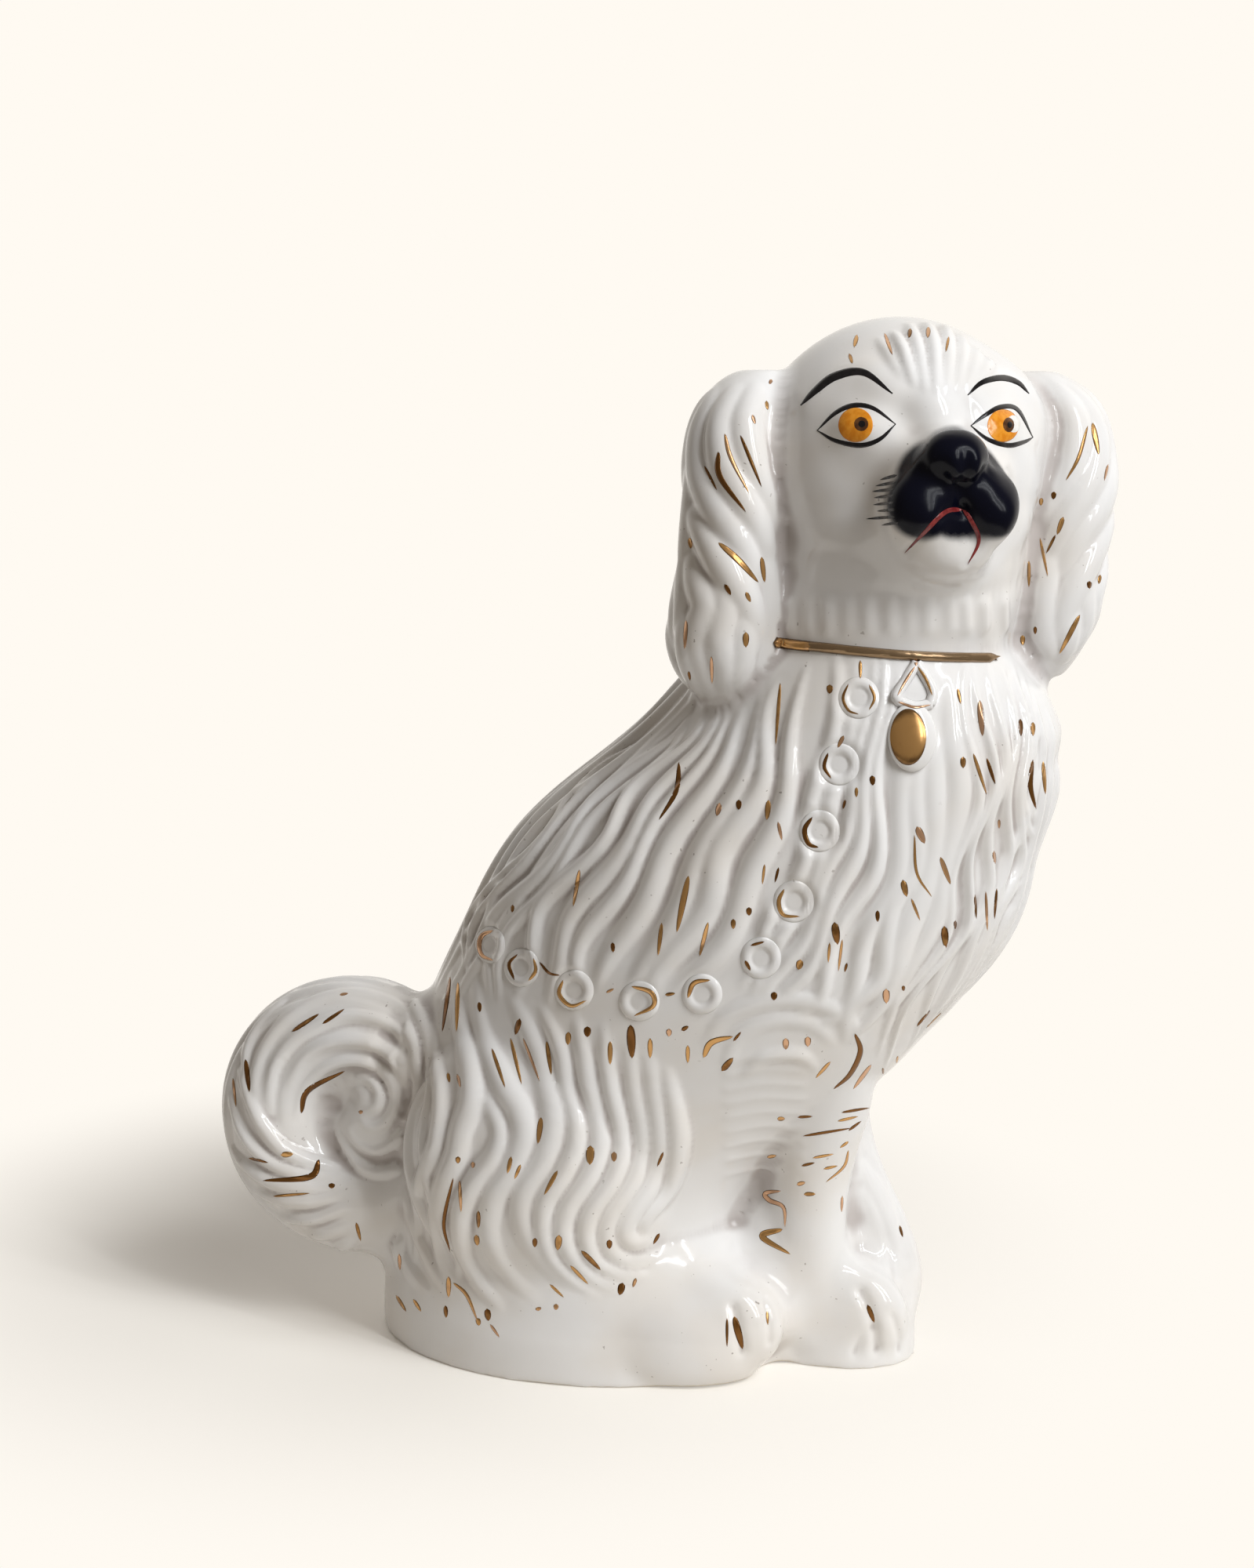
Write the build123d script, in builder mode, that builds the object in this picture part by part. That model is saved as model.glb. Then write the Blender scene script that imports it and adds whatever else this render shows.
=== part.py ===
"""A seated mantel dog of press-moulded earthenware, as the clay pieces that are joined with slip.

Millimetres, +Z up, +X the way the chest faces, -Y the show side.
The origin is on the underside, at the middle of the figure.
"""
import os
from math import cos, pi, radians, sin

from build123d import *

os.makedirs("parts", exist_ok=True)

# Base: a large oval under the rump and a small one under the forepaws
slab_thickness = 7.0
plinth_rise = 8.0
rump_oval_x = -13.0
rump_oval_length = 140.0
rump_oval_width = 106.0
paw_oval_x = 70.0
paw_oval_length = 52.0
paw_oval_width = 38.0
vent_diameter = 10.0
vent_x = -40.0

# Pressed clay
wall = 6.0

# Trunk: level ovals from the slab to the neck, leaning forward
neck_height = 231.0
neck_x = 78.0
neck_radius = 43.0
rump_x = -20.0
trunk_length = 180.0
trunk_width = 110.0
# height, centre, length and width, each as a share of its trunk size
trunk_shares = [
    (0.0, 0.0, 0.667, 0.90),
    (0.104, 0.0, 0.667, 0.86),
    (0.24, 0.041, 0.711, 0.85),
    (0.344, 0.184, 0.844, 0.88),
    (0.439, 0.367, 0.956, 0.94),
    (0.557, 0.551, 1.0, 1.0),
    (0.692, 0.694, 0.967, 1.0),
    (0.81, 0.837, 0.822, 0.95),
    (0.887, 0.929, 0.7, 0.91),
    (0.946, 0.964, 0.611, 0.87),
]

# Haunches and hind feet, alike on both sides
haunch_x = -20.0
haunch_y = 31.0
haunch_z = 66.0
haunch_length = 88.0
haunch_width = 48.0
haunch_height = 100.0
hind_foot_x = 33.0
hind_foot_y = 31.0
hind_foot_z = 17.0
hind_foot_length = 52.0
hind_foot_width = 26.0
hind_foot_height = 36.0

# Web of clay that closes the gap from the rump to the forelegs
web_x = 44.0
web_z = 48.0
web_length = 58.0
web_width = 24.0
web_height = 116.0

# Forelegs: level ovals from the paw to the shoulder, which the chest hides
shoulder_height = 120.0
foreleg_length = 25.0
foreleg_width = 22.0
near_foreleg_x = 62.0
far_foreleg_x = 70.0
foreleg_y = 9.5
# height, forward place in lengths, outward place in widths, length and width
near_foreleg_shares = [
    (0.0, 0.04, 0.0, 1.25, 0.9),
    (0.35, 0.0, 0.0, 1.0, 1.0),
    (0.53, 0.08, 0.05, 1.06, 1.1),
    (0.71, 0.1, 0.2, 1.5, 1.3),
    (0.88, 0.0, 0.45, 2.0, 1.6),
    (1.0, -0.2, 0.8, 2.2, 1.8),
]
far_foreleg_shares = [
    (0.0, 0.3, 0.0, 1.3, 0.9),
    (0.24, 0.38, 0.0, 1.24, 1.0),
    (0.46, -0.06, 0.0, 1.2, 1.0),
    (0.62, -0.3, 0.05, 1.28, 1.1),
    (0.85, -0.5, 0.3, 1.9, 1.6),
    (1.0, -0.6, 0.6, 2.2, 1.8),
]
paw_x = 75.0
paw_z = 16.0
paw_length = 40.0
paw_width = 19.0
paw_height = 34.0

# Tail: a fat roll, curled against the rump with its end tucked in as a lump
tail_x = -87.0
tail_y = -12.0
tail_z = 71.0
curl_radius = 29.0
tail_radius = 19.0
curl_start_angle = -40.0
curl_end_angle = -290.0
curl_section_count = 12
tail_root_share = 0.9
tail_end_share = 0.84
tuck_x = -78.0
tuck_z = 74.0
tuck_length = 42.0
tuck_width = 33.0
tuck_height = 48.0

# Head: turned towards the show side
figure_height = 330.0
face_turn = 28.0
head_x = 84.0
head_y = -4.0
skull_width = 88.0
skull_depth = 90.0
skull_height = 88.0
skull_forward = 4.0
jaw_height = 255.0
jaw_width = 82.0
jaw_depth = 86.0

# Muzzle, lips, chin and nose, each a rounded lump on the face
muzzle_reach = 38.0
muzzle_z = 278.0
muzzle_width = 42.0
muzzle_depth = 48.0
muzzle_height = 42.0
lip_reach = 52.0
lip_z = 274.0
lip_apart = 21.0
lip_width = 22.0
lip_depth = 22.0
lip_height = 25.0
chin_reach = 47.0
chin_z = 261.0
chin_width = 30.0
chin_depth = 24.0
chin_height = 15.0
nose_reach = 60.0
nose_z = 288.0
nose_width = 20.0
nose_depth = 14.0
nose_height = 18.0

# Ears: level ovals from the root to the tip
ear_root_height = 314.0
near_ear_tip_height = 213.0
far_ear_tip_height = 220.0
ear_apart = 108.0
ear_width = 35.0
ear_depth = 33.0
ear_forward = 5.0
# fall from root to tip, place out from the head's middle, forward place, width and depth
ear_shares = [
    (0.0, 0.8, 0.2, 0.4, 0.36),
    (0.04, 0.88, 0.3, 0.7, 0.62),
    (0.13, 0.95, 0.6, 0.92, 0.86),
    (0.28, 0.98, 0.9, 0.98, 0.97),
    (0.52, 1.0, 1.0, 1.0, 1.0),
    (0.73, 1.0, 1.0, 0.97, 0.94),
    (0.88, 0.97, 1.0, 0.82, 0.78),
    (0.97, 0.94, 0.9, 0.55, 0.5),
    (1.0, 0.93, 0.8, 0.3, 0.28),
]

# Collar, lock and chain, pressed on as thin relief
collar_height = 5.5
collar_proud = 2.2
lock_x = 97.0
lock_z = 207.0
lock_width = 15.0
lock_height = 21.0
lock_thickness = 5.0
lock_edge_radius = 1.6
shackle_radius = 4.6
shackle_wire_radius = 1.2
link_radius = 4.9
link_wire_radius = 1.5
# place of each ring: share of the way from neck to rump, share of the neck's height
link_place_shares = [
    (-0.035, 0.945),
    (0.02, 0.863),
    (0.07, 0.778),
    (0.143, 0.687),
    (0.24, 0.611),
    (0.42, 0.56),
    (0.62, 0.544),
    (0.845, 0.546),
    (1.03, 0.567),
    (1.17, 0.587),
]

# Places worked out from the sizes above
trunk_rise = neck_height - slab_thickness
neck_lead = neck_x - rump_x
skull_z = figure_height - skull_height / 2
face_plane = Plane(
    origin=(head_x, head_y, 0),
    x_dir=(cos(radians(face_turn)), sin(radians(face_turn)), 0),
    z_dir=(0, 0, 1),
)
neck_in_face = face_plane.to_local_coords(Vector(neck_x, 0, 0))


def oval(plane, centre, length, width):
    """One level oval section."""
    with BuildSketch(plane) as section:
        with Locations(centre):
            Ellipse(length / 2, width / 2)
    return section.sketch


def lump(plane, centre, length, width, height):
    """A rounded lump of clay with three sizes."""
    ball = scale(Sphere(1, mode=Mode.PRIVATE), by=(length / 2, width / 2, height / 2), mode=Mode.PRIVATE)
    return plane.location * Pos(*centre) * ball


def base_outline(height):
    """Plan of the base at a height."""
    with BuildSketch(Plane.XY.offset(height)) as outline:
        with Locations((rump_oval_x, 0)):
            Ellipse(rump_oval_length / 2, rump_oval_width / 2)
        with Locations((paw_oval_x, 0)):
            Ellipse(paw_oval_length / 2, paw_oval_width / 2)
    return outline.sketch


def trunk_sections(inset):
    """Ovals of the trunk, each drawn in by the inset."""
    sections = []
    for rise_share, lead_share, length_share, width_share in trunk_shares:
        level = Plane.XY.offset(slab_thickness + rise_share * trunk_rise)
        centre = (rump_x + lead_share * neck_lead, 0)
        length = length_share * trunk_length - 2 * inset
        width = width_share * trunk_width - 2 * inset
        sections.append(oval(level, centre, length, width))
    neck_diameter = 2 * (neck_radius - inset)
    sections.append(oval(Plane.XY.offset(neck_height), (neck_x, 0), neck_diameter, neck_diameter))
    return sections


def foreleg_sections(shares, leg_x, side):
    """Ovals of one foreleg, from the slab to the shoulder."""
    sections = []
    for rise_share, forward_share, outward_share, length_share, width_share in shares:
        level = Plane.XY.offset(slab_thickness + rise_share * (shoulder_height - slab_thickness))
        x = leg_x + forward_share * foreleg_length
        y = side * (foreleg_y + outward_share * foreleg_width)
        sections.append(oval(level, (x, y), length_share * foreleg_length, width_share * foreleg_width))
    return sections


def ear_sections(tip_height, side):
    """Ovals of one ear, from its root down to its tip."""
    sections = []
    for fall_share, out_share, forward_share, width_share, depth_share in ear_shares:
        level = face_plane.offset(ear_root_height - fall_share * (ear_root_height - tip_height))
        centre = (side * out_share * ear_apart / 2, -forward_share * ear_forward)
        sections.append(oval(level, centre, width_share * ear_width, depth_share * ear_depth))
    return sections


def tail_sections():
    """Rounds along the curl, square to its line, fullest at the middle."""
    sections = []
    for index in range(curl_section_count):
        along = index / (curl_section_count - 1)
        turn = radians(curl_start_angle + along * (curl_end_angle - curl_start_angle))
        end_share = tail_root_share if along < 1 / 2 else tail_end_share
        thickness = tail_radius * (end_share + (1 - end_share) * sin(pi * along))
        place = Vector(tail_x + curl_radius * cos(turn), tail_y, tail_z + curl_radius * sin(turn))
        onward = Vector(sin(turn), 0, -cos(turn))
        with BuildSketch(Plane(origin=place, x_dir=(0, 1, 0), z_dir=onward)) as section:
            Circle(thickness)
        sections.append(section.sketch)
    return sections


def seat_on(shell, x, height):
    """Plane on the show side of a shell, facing out of it, with its own Y upwards."""
    probe = Axis((x, -trunk_length, height), (0, 1, 0))
    hits = [hit for face in shell.faces() for hit in face.find_intersection_points(probe)]
    point, normal = min(hits, key=lambda hit: hit[0].Y)
    if normal.Y > 0:
        normal = -normal
    return Plane(origin=point, x_dir=Vector(0, 0, 1).cross(normal), z_dir=normal)


# Outer form of the body, before it is hollowed and parted
with BuildPart() as body_form:
    loft(sections=trunk_sections(0))
    add(base_outline(slab_thickness))
    extrude(amount=plinth_rise)
    add(lump(Plane.XY, (web_x, 0, web_z), web_length, web_width, web_height))
    for side in (-1, 1):
        add(lump(
            Plane.XY,
            (haunch_x, side * haunch_y, haunch_z),
            haunch_length,
            haunch_width,
            haunch_height,
        ))
        add(lump(
            Plane.XY,
            (hind_foot_x, side * hind_foot_y, hind_foot_z),
            hind_foot_length,
            hind_foot_width,
            hind_foot_height,
        ))
    split(bisect_by=Plane.XY.offset(slab_thickness), keep=Keep.TOP)

# Hollow inside the body, open to the slab and the neck
with BuildPart() as body_hollow:
    loft(sections=trunk_sections(wall))
    for side in (-1, 1):
        add(lump(
            Plane.XY,
            (haunch_x, side * haunch_y, haunch_z),
            haunch_length - 2 * wall,
            haunch_width - 2 * wall,
            haunch_height - 2 * wall,
        ))

# Base slab with its vent
with BuildPart() as base_slab:
    add(base_outline(0))
    extrude(amount=slab_thickness)
    with Locations((vent_x, 0, slab_thickness)):
        Hole(vent_diameter / 2)
base_slab.part.label = "base_slab"
export_step(base_slab.part, "parts/base_slab.step")

# Body halves, parted down the middle
with BuildPart() as body_near_half:
    add(body_form.part)
    add(body_hollow.part, mode=Mode.SUBTRACT)
    split(bisect_by=Plane.XZ, keep=Keep.TOP)
body_near_half.part.label = "body_near_half"
export_step(body_near_half.part, "parts/body_near_half.step")

with BuildPart() as body_far_half:
    add(body_form.part)
    add(body_hollow.part, mode=Mode.SUBTRACT)
    split(bisect_by=Plane.XZ, keep=Keep.BOTTOM)
body_far_half.part.label = "body_far_half"
export_step(body_far_half.part, "parts/body_far_half.step")

# Forelegs, trimmed to the chest and to each other's side
with BuildPart() as near_foreleg:
    loft(sections=foreleg_sections(near_foreleg_shares, near_foreleg_x, -1))
    add(lump(Plane.XY, (paw_x, -foreleg_y, paw_z), paw_length, paw_width, paw_height))
    split(bisect_by=Plane.XZ, keep=Keep.TOP)
    split(bisect_by=Plane.XY.offset(slab_thickness), keep=Keep.TOP)
    add(body_form.part, mode=Mode.SUBTRACT)
near_foreleg.part.label = "near_foreleg"
export_step(near_foreleg.part, "parts/near_foreleg.step")

with BuildPart() as far_foreleg:
    loft(sections=foreleg_sections(far_foreleg_shares, far_foreleg_x, 1))
    add(lump(Plane.XY, (paw_x, foreleg_y, paw_z), paw_length, paw_width, paw_height))
    split(bisect_by=Plane.XZ, keep=Keep.BOTTOM)
    split(bisect_by=Plane.XY.offset(slab_thickness), keep=Keep.TOP)
    add(body_form.part, mode=Mode.SUBTRACT)
far_foreleg.part.label = "far_foreleg"
export_step(far_foreleg.part, "parts/far_foreleg.step")

# Tail, trimmed where it lies against the rump
with BuildPart() as tail:
    loft(sections=tail_sections())
    add(lump(Plane.XY, (tuck_x, tail_y, tuck_z), tuck_length, tuck_width, tuck_height))
    add(body_form.part, mode=Mode.SUBTRACT)
tail.part.label = "tail"
export_step(tail.part, "parts/tail.step")


def head_sections(inset):
    """Ovals from the neck up into the skull, each drawn in by the inset."""
    neck_diameter = 2 * (neck_radius - inset)
    neck_centre = (neck_in_face.X, neck_in_face.Y)
    return [
        oval(face_plane.offset(neck_height), neck_centre, neck_diameter, neck_diameter),
        oval(face_plane.offset(jaw_height), (0, 0), jaw_width - 2 * inset, jaw_depth - 2 * inset),
        oval(face_plane.offset(skull_z), (0, 0), jaw_width - 2 * inset, jaw_depth - 2 * inset),
    ]


# Outer form of the head, before it is hollowed and parted
with BuildPart() as head_form:
    loft(sections=head_sections(0))
    add(lump(face_plane, (0, -skull_forward, skull_z), skull_width, skull_depth, skull_height))
    add(lump(face_plane, (0, -muzzle_reach, muzzle_z), muzzle_width, muzzle_depth, muzzle_height))
    add(lump(face_plane, (0, -chin_reach, chin_z), chin_width, chin_depth, chin_height))
    add(lump(face_plane, (0, -nose_reach, nose_z), nose_width, nose_depth, nose_height))
    for side in (-1, 1):
        add(lump(face_plane, (side * lip_apart / 2, -lip_reach, lip_z), lip_width, lip_depth, lip_height))

# Hollow inside the head, open to the neck
with BuildPart() as head_hollow:
    loft(sections=head_sections(wall))
    add(lump(
        face_plane,
        (0, -skull_forward, skull_z),
        skull_width - 2 * wall,
        skull_depth - 2 * wall,
        skull_height - 2 * wall,
    ))

# Head halves, parted across the face's direction
face_side = Plane(origin=face_plane.origin, z_dir=-face_plane.y_dir)
with BuildPart() as head_face_half:
    add(head_form.part)
    add(head_hollow.part, mode=Mode.SUBTRACT)
    split(bisect_by=face_side, keep=Keep.TOP)
head_face_half.part.label = "head_face_half"
export_step(head_face_half.part, "parts/head_face_half.step")

with BuildPart() as head_back_half:
    add(head_form.part)
    add(head_hollow.part, mode=Mode.SUBTRACT)
    split(bisect_by=face_side, keep=Keep.BOTTOM)
head_back_half.part.label = "head_back_half"
export_step(head_back_half.part, "parts/head_back_half.step")

# Ears, trimmed to the head and the shoulders
with BuildPart() as near_ear:
    loft(sections=ear_sections(near_ear_tip_height, -1))
    add(head_form.part, mode=Mode.SUBTRACT)
    add(body_form.part, mode=Mode.SUBTRACT)
near_ear.part.label = "near_ear"
export_step(near_ear.part, "parts/near_ear.step")

with BuildPart() as far_ear:
    loft(sections=ear_sections(far_ear_tip_height, 1))
    add(head_form.part, mode=Mode.SUBTRACT)
    add(body_form.part, mode=Mode.SUBTRACT)
far_ear.part.label = "far_ear"
export_step(far_ear.part, "parts/far_ear.step")

# Collar strip across the throat, from ear to ear
with BuildPart() as collar:
    with BuildSketch(Plane.XY.offset(neck_height - collar_height / 2)):
        with Locations((neck_x, 0)):
            Circle(neck_radius + collar_proud)
            Circle(neck_radius - wall / 2, mode=Mode.SUBTRACT)
    extrude(amount=collar_height)
    split(bisect_by=face_side.offset(ear_forward + ear_depth / 4), keep=Keep.TOP)
    for neighbour in (body_form, head_form, near_ear, far_ear):
        add(neighbour.part, mode=Mode.SUBTRACT)
collar.part.label = "collar"
export_step(collar.part, "parts/collar.step")

# Padlock with its shackle, half sunk in the chest
lock_seat = seat_on(body_near_half.part, lock_x, lock_z)
shackle_seat = seat_on(body_near_half.part, lock_x, lock_z + lock_height / 2 + shackle_radius)
with BuildPart() as padlock:
    with BuildSketch(lock_seat.offset(-lock_thickness / 2)):
        Ellipse(lock_width / 2, lock_height / 2)
    extrude(amount=lock_thickness)
    fillet(padlock.faces().filter_by(lock_seat).sort_by(Axis.Y)[0].edges(), lock_edge_radius)
    with Locations(shackle_seat.location):
        Torus(shackle_radius, shackle_wire_radius)
    add(body_form.part, mode=Mode.SUBTRACT)
padlock.part.label = "padlock"
export_step(padlock.part, "parts/padlock.step")

# Chain of rings from the collar over the shoulder to the rump, half sunk in the flank
link_seats = []
for along_share, height_share in link_place_shares:
    link_x = neck_x - along_share * neck_lead
    link_seats.append(seat_on(body_near_half.part, link_x, height_share * neck_height))
with BuildPart() as chain_links:
    with Locations([link_seat.location for link_seat in link_seats]):
        Torus(link_radius, link_wire_radius)
    add(body_form.part, mode=Mode.SUBTRACT)
chain_links.part.label = "chain_links"
export_step(chain_links.part, "parts/chain_links.step")
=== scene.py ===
import math
import random

import bmesh
import bpy
import numpy as np
from mathutils import Matrix, Vector
from mathutils.bvhtree import BVHTree
from mathutils.kdtree import KDTree


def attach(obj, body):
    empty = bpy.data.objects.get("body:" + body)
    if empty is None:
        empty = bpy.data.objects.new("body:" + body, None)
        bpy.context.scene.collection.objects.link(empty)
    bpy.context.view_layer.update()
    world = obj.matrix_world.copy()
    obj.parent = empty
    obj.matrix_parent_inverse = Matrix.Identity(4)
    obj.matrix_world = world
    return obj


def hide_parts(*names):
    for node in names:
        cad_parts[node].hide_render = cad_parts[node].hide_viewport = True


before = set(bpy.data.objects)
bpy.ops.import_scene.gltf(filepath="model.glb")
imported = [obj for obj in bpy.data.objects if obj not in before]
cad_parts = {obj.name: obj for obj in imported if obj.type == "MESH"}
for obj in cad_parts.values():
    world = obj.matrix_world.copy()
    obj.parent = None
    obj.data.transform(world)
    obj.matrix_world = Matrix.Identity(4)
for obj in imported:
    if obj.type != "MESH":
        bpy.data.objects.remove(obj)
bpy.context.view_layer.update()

# The view
# The figure is seen from its show side, from about 0.75 m away and a little above its chest.
# A point of the photograph, in its own pixels, is a line of sight from there into the scene.
mm = 0.001
photo_width = 1599
photo_height = 2000
photo_middle = (photo_width / 2, photo_height / 2)
focal_pixels = 3007
sensor_size = 36
view_turn = math.radians(14)
view_dip = math.radians(8.84)
view_distance = 750 * mm
view_height = 300 * mm

towards_viewer = Vector((math.sin(view_turn), -math.cos(view_turn), 0))
view_right = Vector((math.cos(view_turn), math.sin(view_turn), 0))
view_ahead = -towards_viewer * math.cos(view_dip) - Vector((0, 0, math.sin(view_dip)))
view_up = -towards_viewer * math.sin(view_dip) + Vector((0, 0, math.cos(view_dip)))

lens = bpy.data.cameras.new("view")
lens.sensor_width = sensor_size
lens.lens = sensor_size * focal_pixels / photo_height
view = bpy.data.objects.new("view", lens)
view.location = towards_viewer * view_distance + Vector((0, 0, view_height))
view.rotation_euler = (math.pi / 2 - view_dip, 0, view_turn)
bpy.context.scene.collection.objects.link(view)
bpy.context.scene.camera = view
bpy.context.scene.view_settings.view_transform = "Standard"
eye_point = view.location.copy()


def sight(pixel):
    """The direction from the eye point through one point of the photograph."""
    across = (pixel[0] - photo_middle[0]) / focal_pixels
    down = (pixel[1] - photo_middle[1]) / focal_pixels
    return (view_ahead + view_right * across - view_up * down).normalized()


# The clay skin
# Ten clay pieces, pressed in moulds or rolled, are joined with slip while they are damp, and
# a wet brush rounds every seam. The skin is the one outer surface that they make together.
clay_names = (
    "base_slab",
    "body_near_half",
    "body_far_half",
    "near_foreleg",
    "far_foreleg",
    "tail",
    "head_face_half",
    "head_back_half",
    "near_ear",
    "far_ear",
)
skin_cell = 1.0 * mm
inner_group = "inner wall"
weld = 0.001 * mm
wad_floor = 0.5 * mm
warp_core = 4 * mm
slip_fill = 3 * mm
slip_rounds = 8
vent_place = (-40 * mm, 0, 6 * mm)
vent_plug = (8 * mm, 12 * mm)
head_place = Vector((84, -4, 0)) * mm
face_turn = math.radians(28)
face_right = Vector((math.cos(face_turn), math.sin(face_turn), 0))
face_ahead = Vector((math.sin(face_turn), -math.cos(face_turn), 0))
wads = (
    ((head_place + face_ahead * 19 * mm + Vector((0, 0, 271 * mm))), (37, 28, 24), face_turn),
    (Vector((-66, -12, 94)) * mm, (13, 18, 19), 0),
    (Vector((-13, 0, 16)) * mm, (69, 52, 46), 0),
    (Vector((18, -30, 12)) * mm, (36, 20, 22), 0),
    (Vector((18, 30, 12)) * mm, (36, 20, 22), 0),
    (Vector((52, 0, 20)) * mm, (20, 22, 40), 0),
)


def mesh_tree(mesh):
    """A search tree of a mesh's faces."""
    corners = [vertex.co for vertex in mesh.vertices]
    return BVHTree.FromPolygons(corners, [face.vertices[:] for face in mesh.polygons])


def settled(made, name, modifiers):
    """A bmesh turned into a mesh, with modifiers given as type and settings already applied."""
    rough = bpy.data.meshes.new(name)
    made.to_mesh(rough)
    made.free()
    holder = bpy.data.objects.new(name, rough)
    bpy.context.scene.collection.objects.link(holder)
    holder.vertex_groups.new(name=inner_group)
    for kind, settings in modifiers:
        modifier = holder.modifiers.new(kind, kind)
        for setting, value in settings.items():
            setattr(modifier, setting, value)
    graph = bpy.context.evaluated_depsgraph_get()
    done = bpy.data.meshes.new_from_object(holder.evaluated_get(graph), depsgraph=graph)
    bpy.data.objects.remove(holder)
    bpy.data.meshes.remove(rough)
    return done


def outer_shell(mesh):
    """Only the connected part of a mesh that holds its highest point."""
    shell = bmesh.new()
    shell.from_mesh(mesh)
    highest = max(shell.verts, key=lambda vertex: vertex.co.z)
    found = {highest}
    edge_of_search = [highest]
    while edge_of_search:
        vertex = edge_of_search.pop()
        for edge in vertex.link_edges:
            other = edge.other_vert(vertex)
            if other not in found:
                found.add(other)
                edge_of_search.append(other)
    inner = [vertex for vertex in shell.verts if vertex not in found]
    bmesh.ops.delete(shell, geom=inner, context="VERTS")
    shell.to_mesh(mesh)
    shell.free()


joined = bmesh.new()
cad_corners = []
cad_faces = []
cad_owner = []
for clay_index, clay_name in enumerate(clay_names):
    clay_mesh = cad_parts[clay_name].data
    first = len(cad_corners)
    cad_corners += [vertex.co.copy() for vertex in clay_mesh.vertices]
    cad_faces += [[first + corner for corner in face.vertices] for face in clay_mesh.polygons]
    cad_owner += [clay_index] * len(clay_mesh.polygons)
    joined.from_mesh(clay_mesh)
bmesh.ops.remove_doubles(joined, verts=joined.verts, dist=weld)
bmesh.ops.create_cone(
    joined, cap_ends=True, segments=32, radius1=vent_plug[0], radius2=vent_plug[0],
    depth=vent_plug[1], matrix=Matrix.Translation(vent_place),
)
for wad_place, wad_size, wad_turn in wads:
    turned = Matrix.Rotation(wad_turn, 3, "Z")
    shape = Matrix.LocRotScale(wad_place, turned, Vector(wad_size) * mm)
    wad = bmesh.ops.create_icosphere(joined, subdivisions=4, radius=1, matrix=shape)["verts"]
    for vertex in wad:
        vertex.co.z = max(vertex.co.z, wad_floor)
remesh = {"mode": "VOXEL", "voxel_size": skin_cell, "adaptivity": 0}
swell = {"strength": slip_fill, "mid_level": 0}
shrink = {"strength": -slip_fill, "mid_level": 0}
skin = settled(joined, "skin", [
    ("REMESH", remesh),
    ("DISPLACE", swell),
    ("REMESH", remesh),
    ("DISPLACE", shrink),
])
outer_shell(skin)
skin_count = len(skin.vertices)
skin_edges = np.empty(len(skin.edges) * 2, dtype=np.int64)
skin.edges.foreach_get("vertices", skin_edges)
skin_edges = skin_edges.reshape(-1, 2)


def skin_points():
    points = np.empty(skin_count * 3)
    skin.vertices.foreach_get("co", points)
    return points.reshape(-1, 3)


def skin_normals():
    normals = np.empty(skin_count * 3)
    skin.vertex_normals.foreach_get("vector", normals)
    return normals.reshape(-1, 3)


def move_skin(points):
    skin.vertices.foreach_set("co", points.ravel())
    skin.update()


def brushed(values, rounds, where=None):
    """Values at the skin's points, evened out towards their neighbours, everywhere or in one area."""
    values = values.reshape(skin_count, -1).copy()
    chosen = np.arange(skin_count) if where is None else np.nonzero(where)[0]
    order = np.full(skin_count, len(chosen))
    order[chosen] = np.arange(len(chosen))
    start, end = np.concatenate((skin_edges, skin_edges[:, ::-1])).T
    inside = order[start] < len(chosen)
    start = order[start[inside]]
    end = end[inside]
    valence = np.bincount(start, minlength=len(chosen))
    for _ in range(rounds):
        for column in range(values.shape[1]):
            total = np.bincount(start, weights=values[end, column], minlength=len(chosen))
            values[chosen, column] = 0.5 * (values[chosen, column] + total / valence)
    return values


def on_face(points):
    """Points in the head's own directions: to its right, ahead and up."""
    offset = points - np.array(head_place)
    return np.column_stack((offset @ np.array(face_right), offset @ np.array(face_ahead), points[:, 2]))


def fading(distance, inner, outer):
    """A soft share, 1 within the inner distance and 0 past the outer one."""
    share = np.clip((outer - distance) / (outer - inner), 0, 1)
    return share * share * (3 - 2 * share)


# Areas rounded with a wet brush: a place on the head, inner and outer reach, rounds and share.
# Small shifts of the face: a place on the head, the shift in its own directions, and the reach.
# Small shifts of the outline: place and reach across the view, the same upwards, and the shift.
soft_areas = (
    ((0, 50, 277), 18, 34, 60, 0.8),
    ((-14, 38, 258), 12, 26, 160, 0.8),
    ((14, 38, 258), 12, 26, 160, 0.8),
    ((0, -34, 300), 30, 52, 300, 1.0),
)
face_warps = (
    ((0, 60, 287), (-3.2, -2, -0.5), 24),
    ((17, 50, 270), (-3, 0, 0), 18),
    ((38, 14, 306), (3, 2, 0), 26),
)
edge_warps = (
    ((8, 0, 45), (283, 24, 50), 5.2),
    ((158, 0, 45), (240, 12, 45), -4.2),
    ((132, 0, 20), (210, 4, 16), 3.0),
    ((136, 30, 80), (136, 26, 58), -7.0),
)
foot_middle = 25 * mm
foot_reach = 21 * mm
foot_core = 0.6 * foot_reach
foot_rounds = 60
foot_share = 0.9
points = brushed(skin_points(), slip_rounds)
face_points = on_face(points)
for area_place, inner, outer, area_rounds, share in soft_areas:
    apart = np.linalg.norm(face_points - np.array(area_place) * mm, axis=1)
    soft_points = brushed(points, area_rounds, apart < outer * mm)
    points += (soft_points - points) * share * fading(apart, inner * mm, outer * mm)[:, None]
apart = np.abs(points[:, 2] - foot_middle)
soft_points = brushed(points, foot_rounds, apart < foot_reach)
points += (soft_points - points) * foot_share * fading(apart, foot_core, foot_reach)[:, None]
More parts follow.
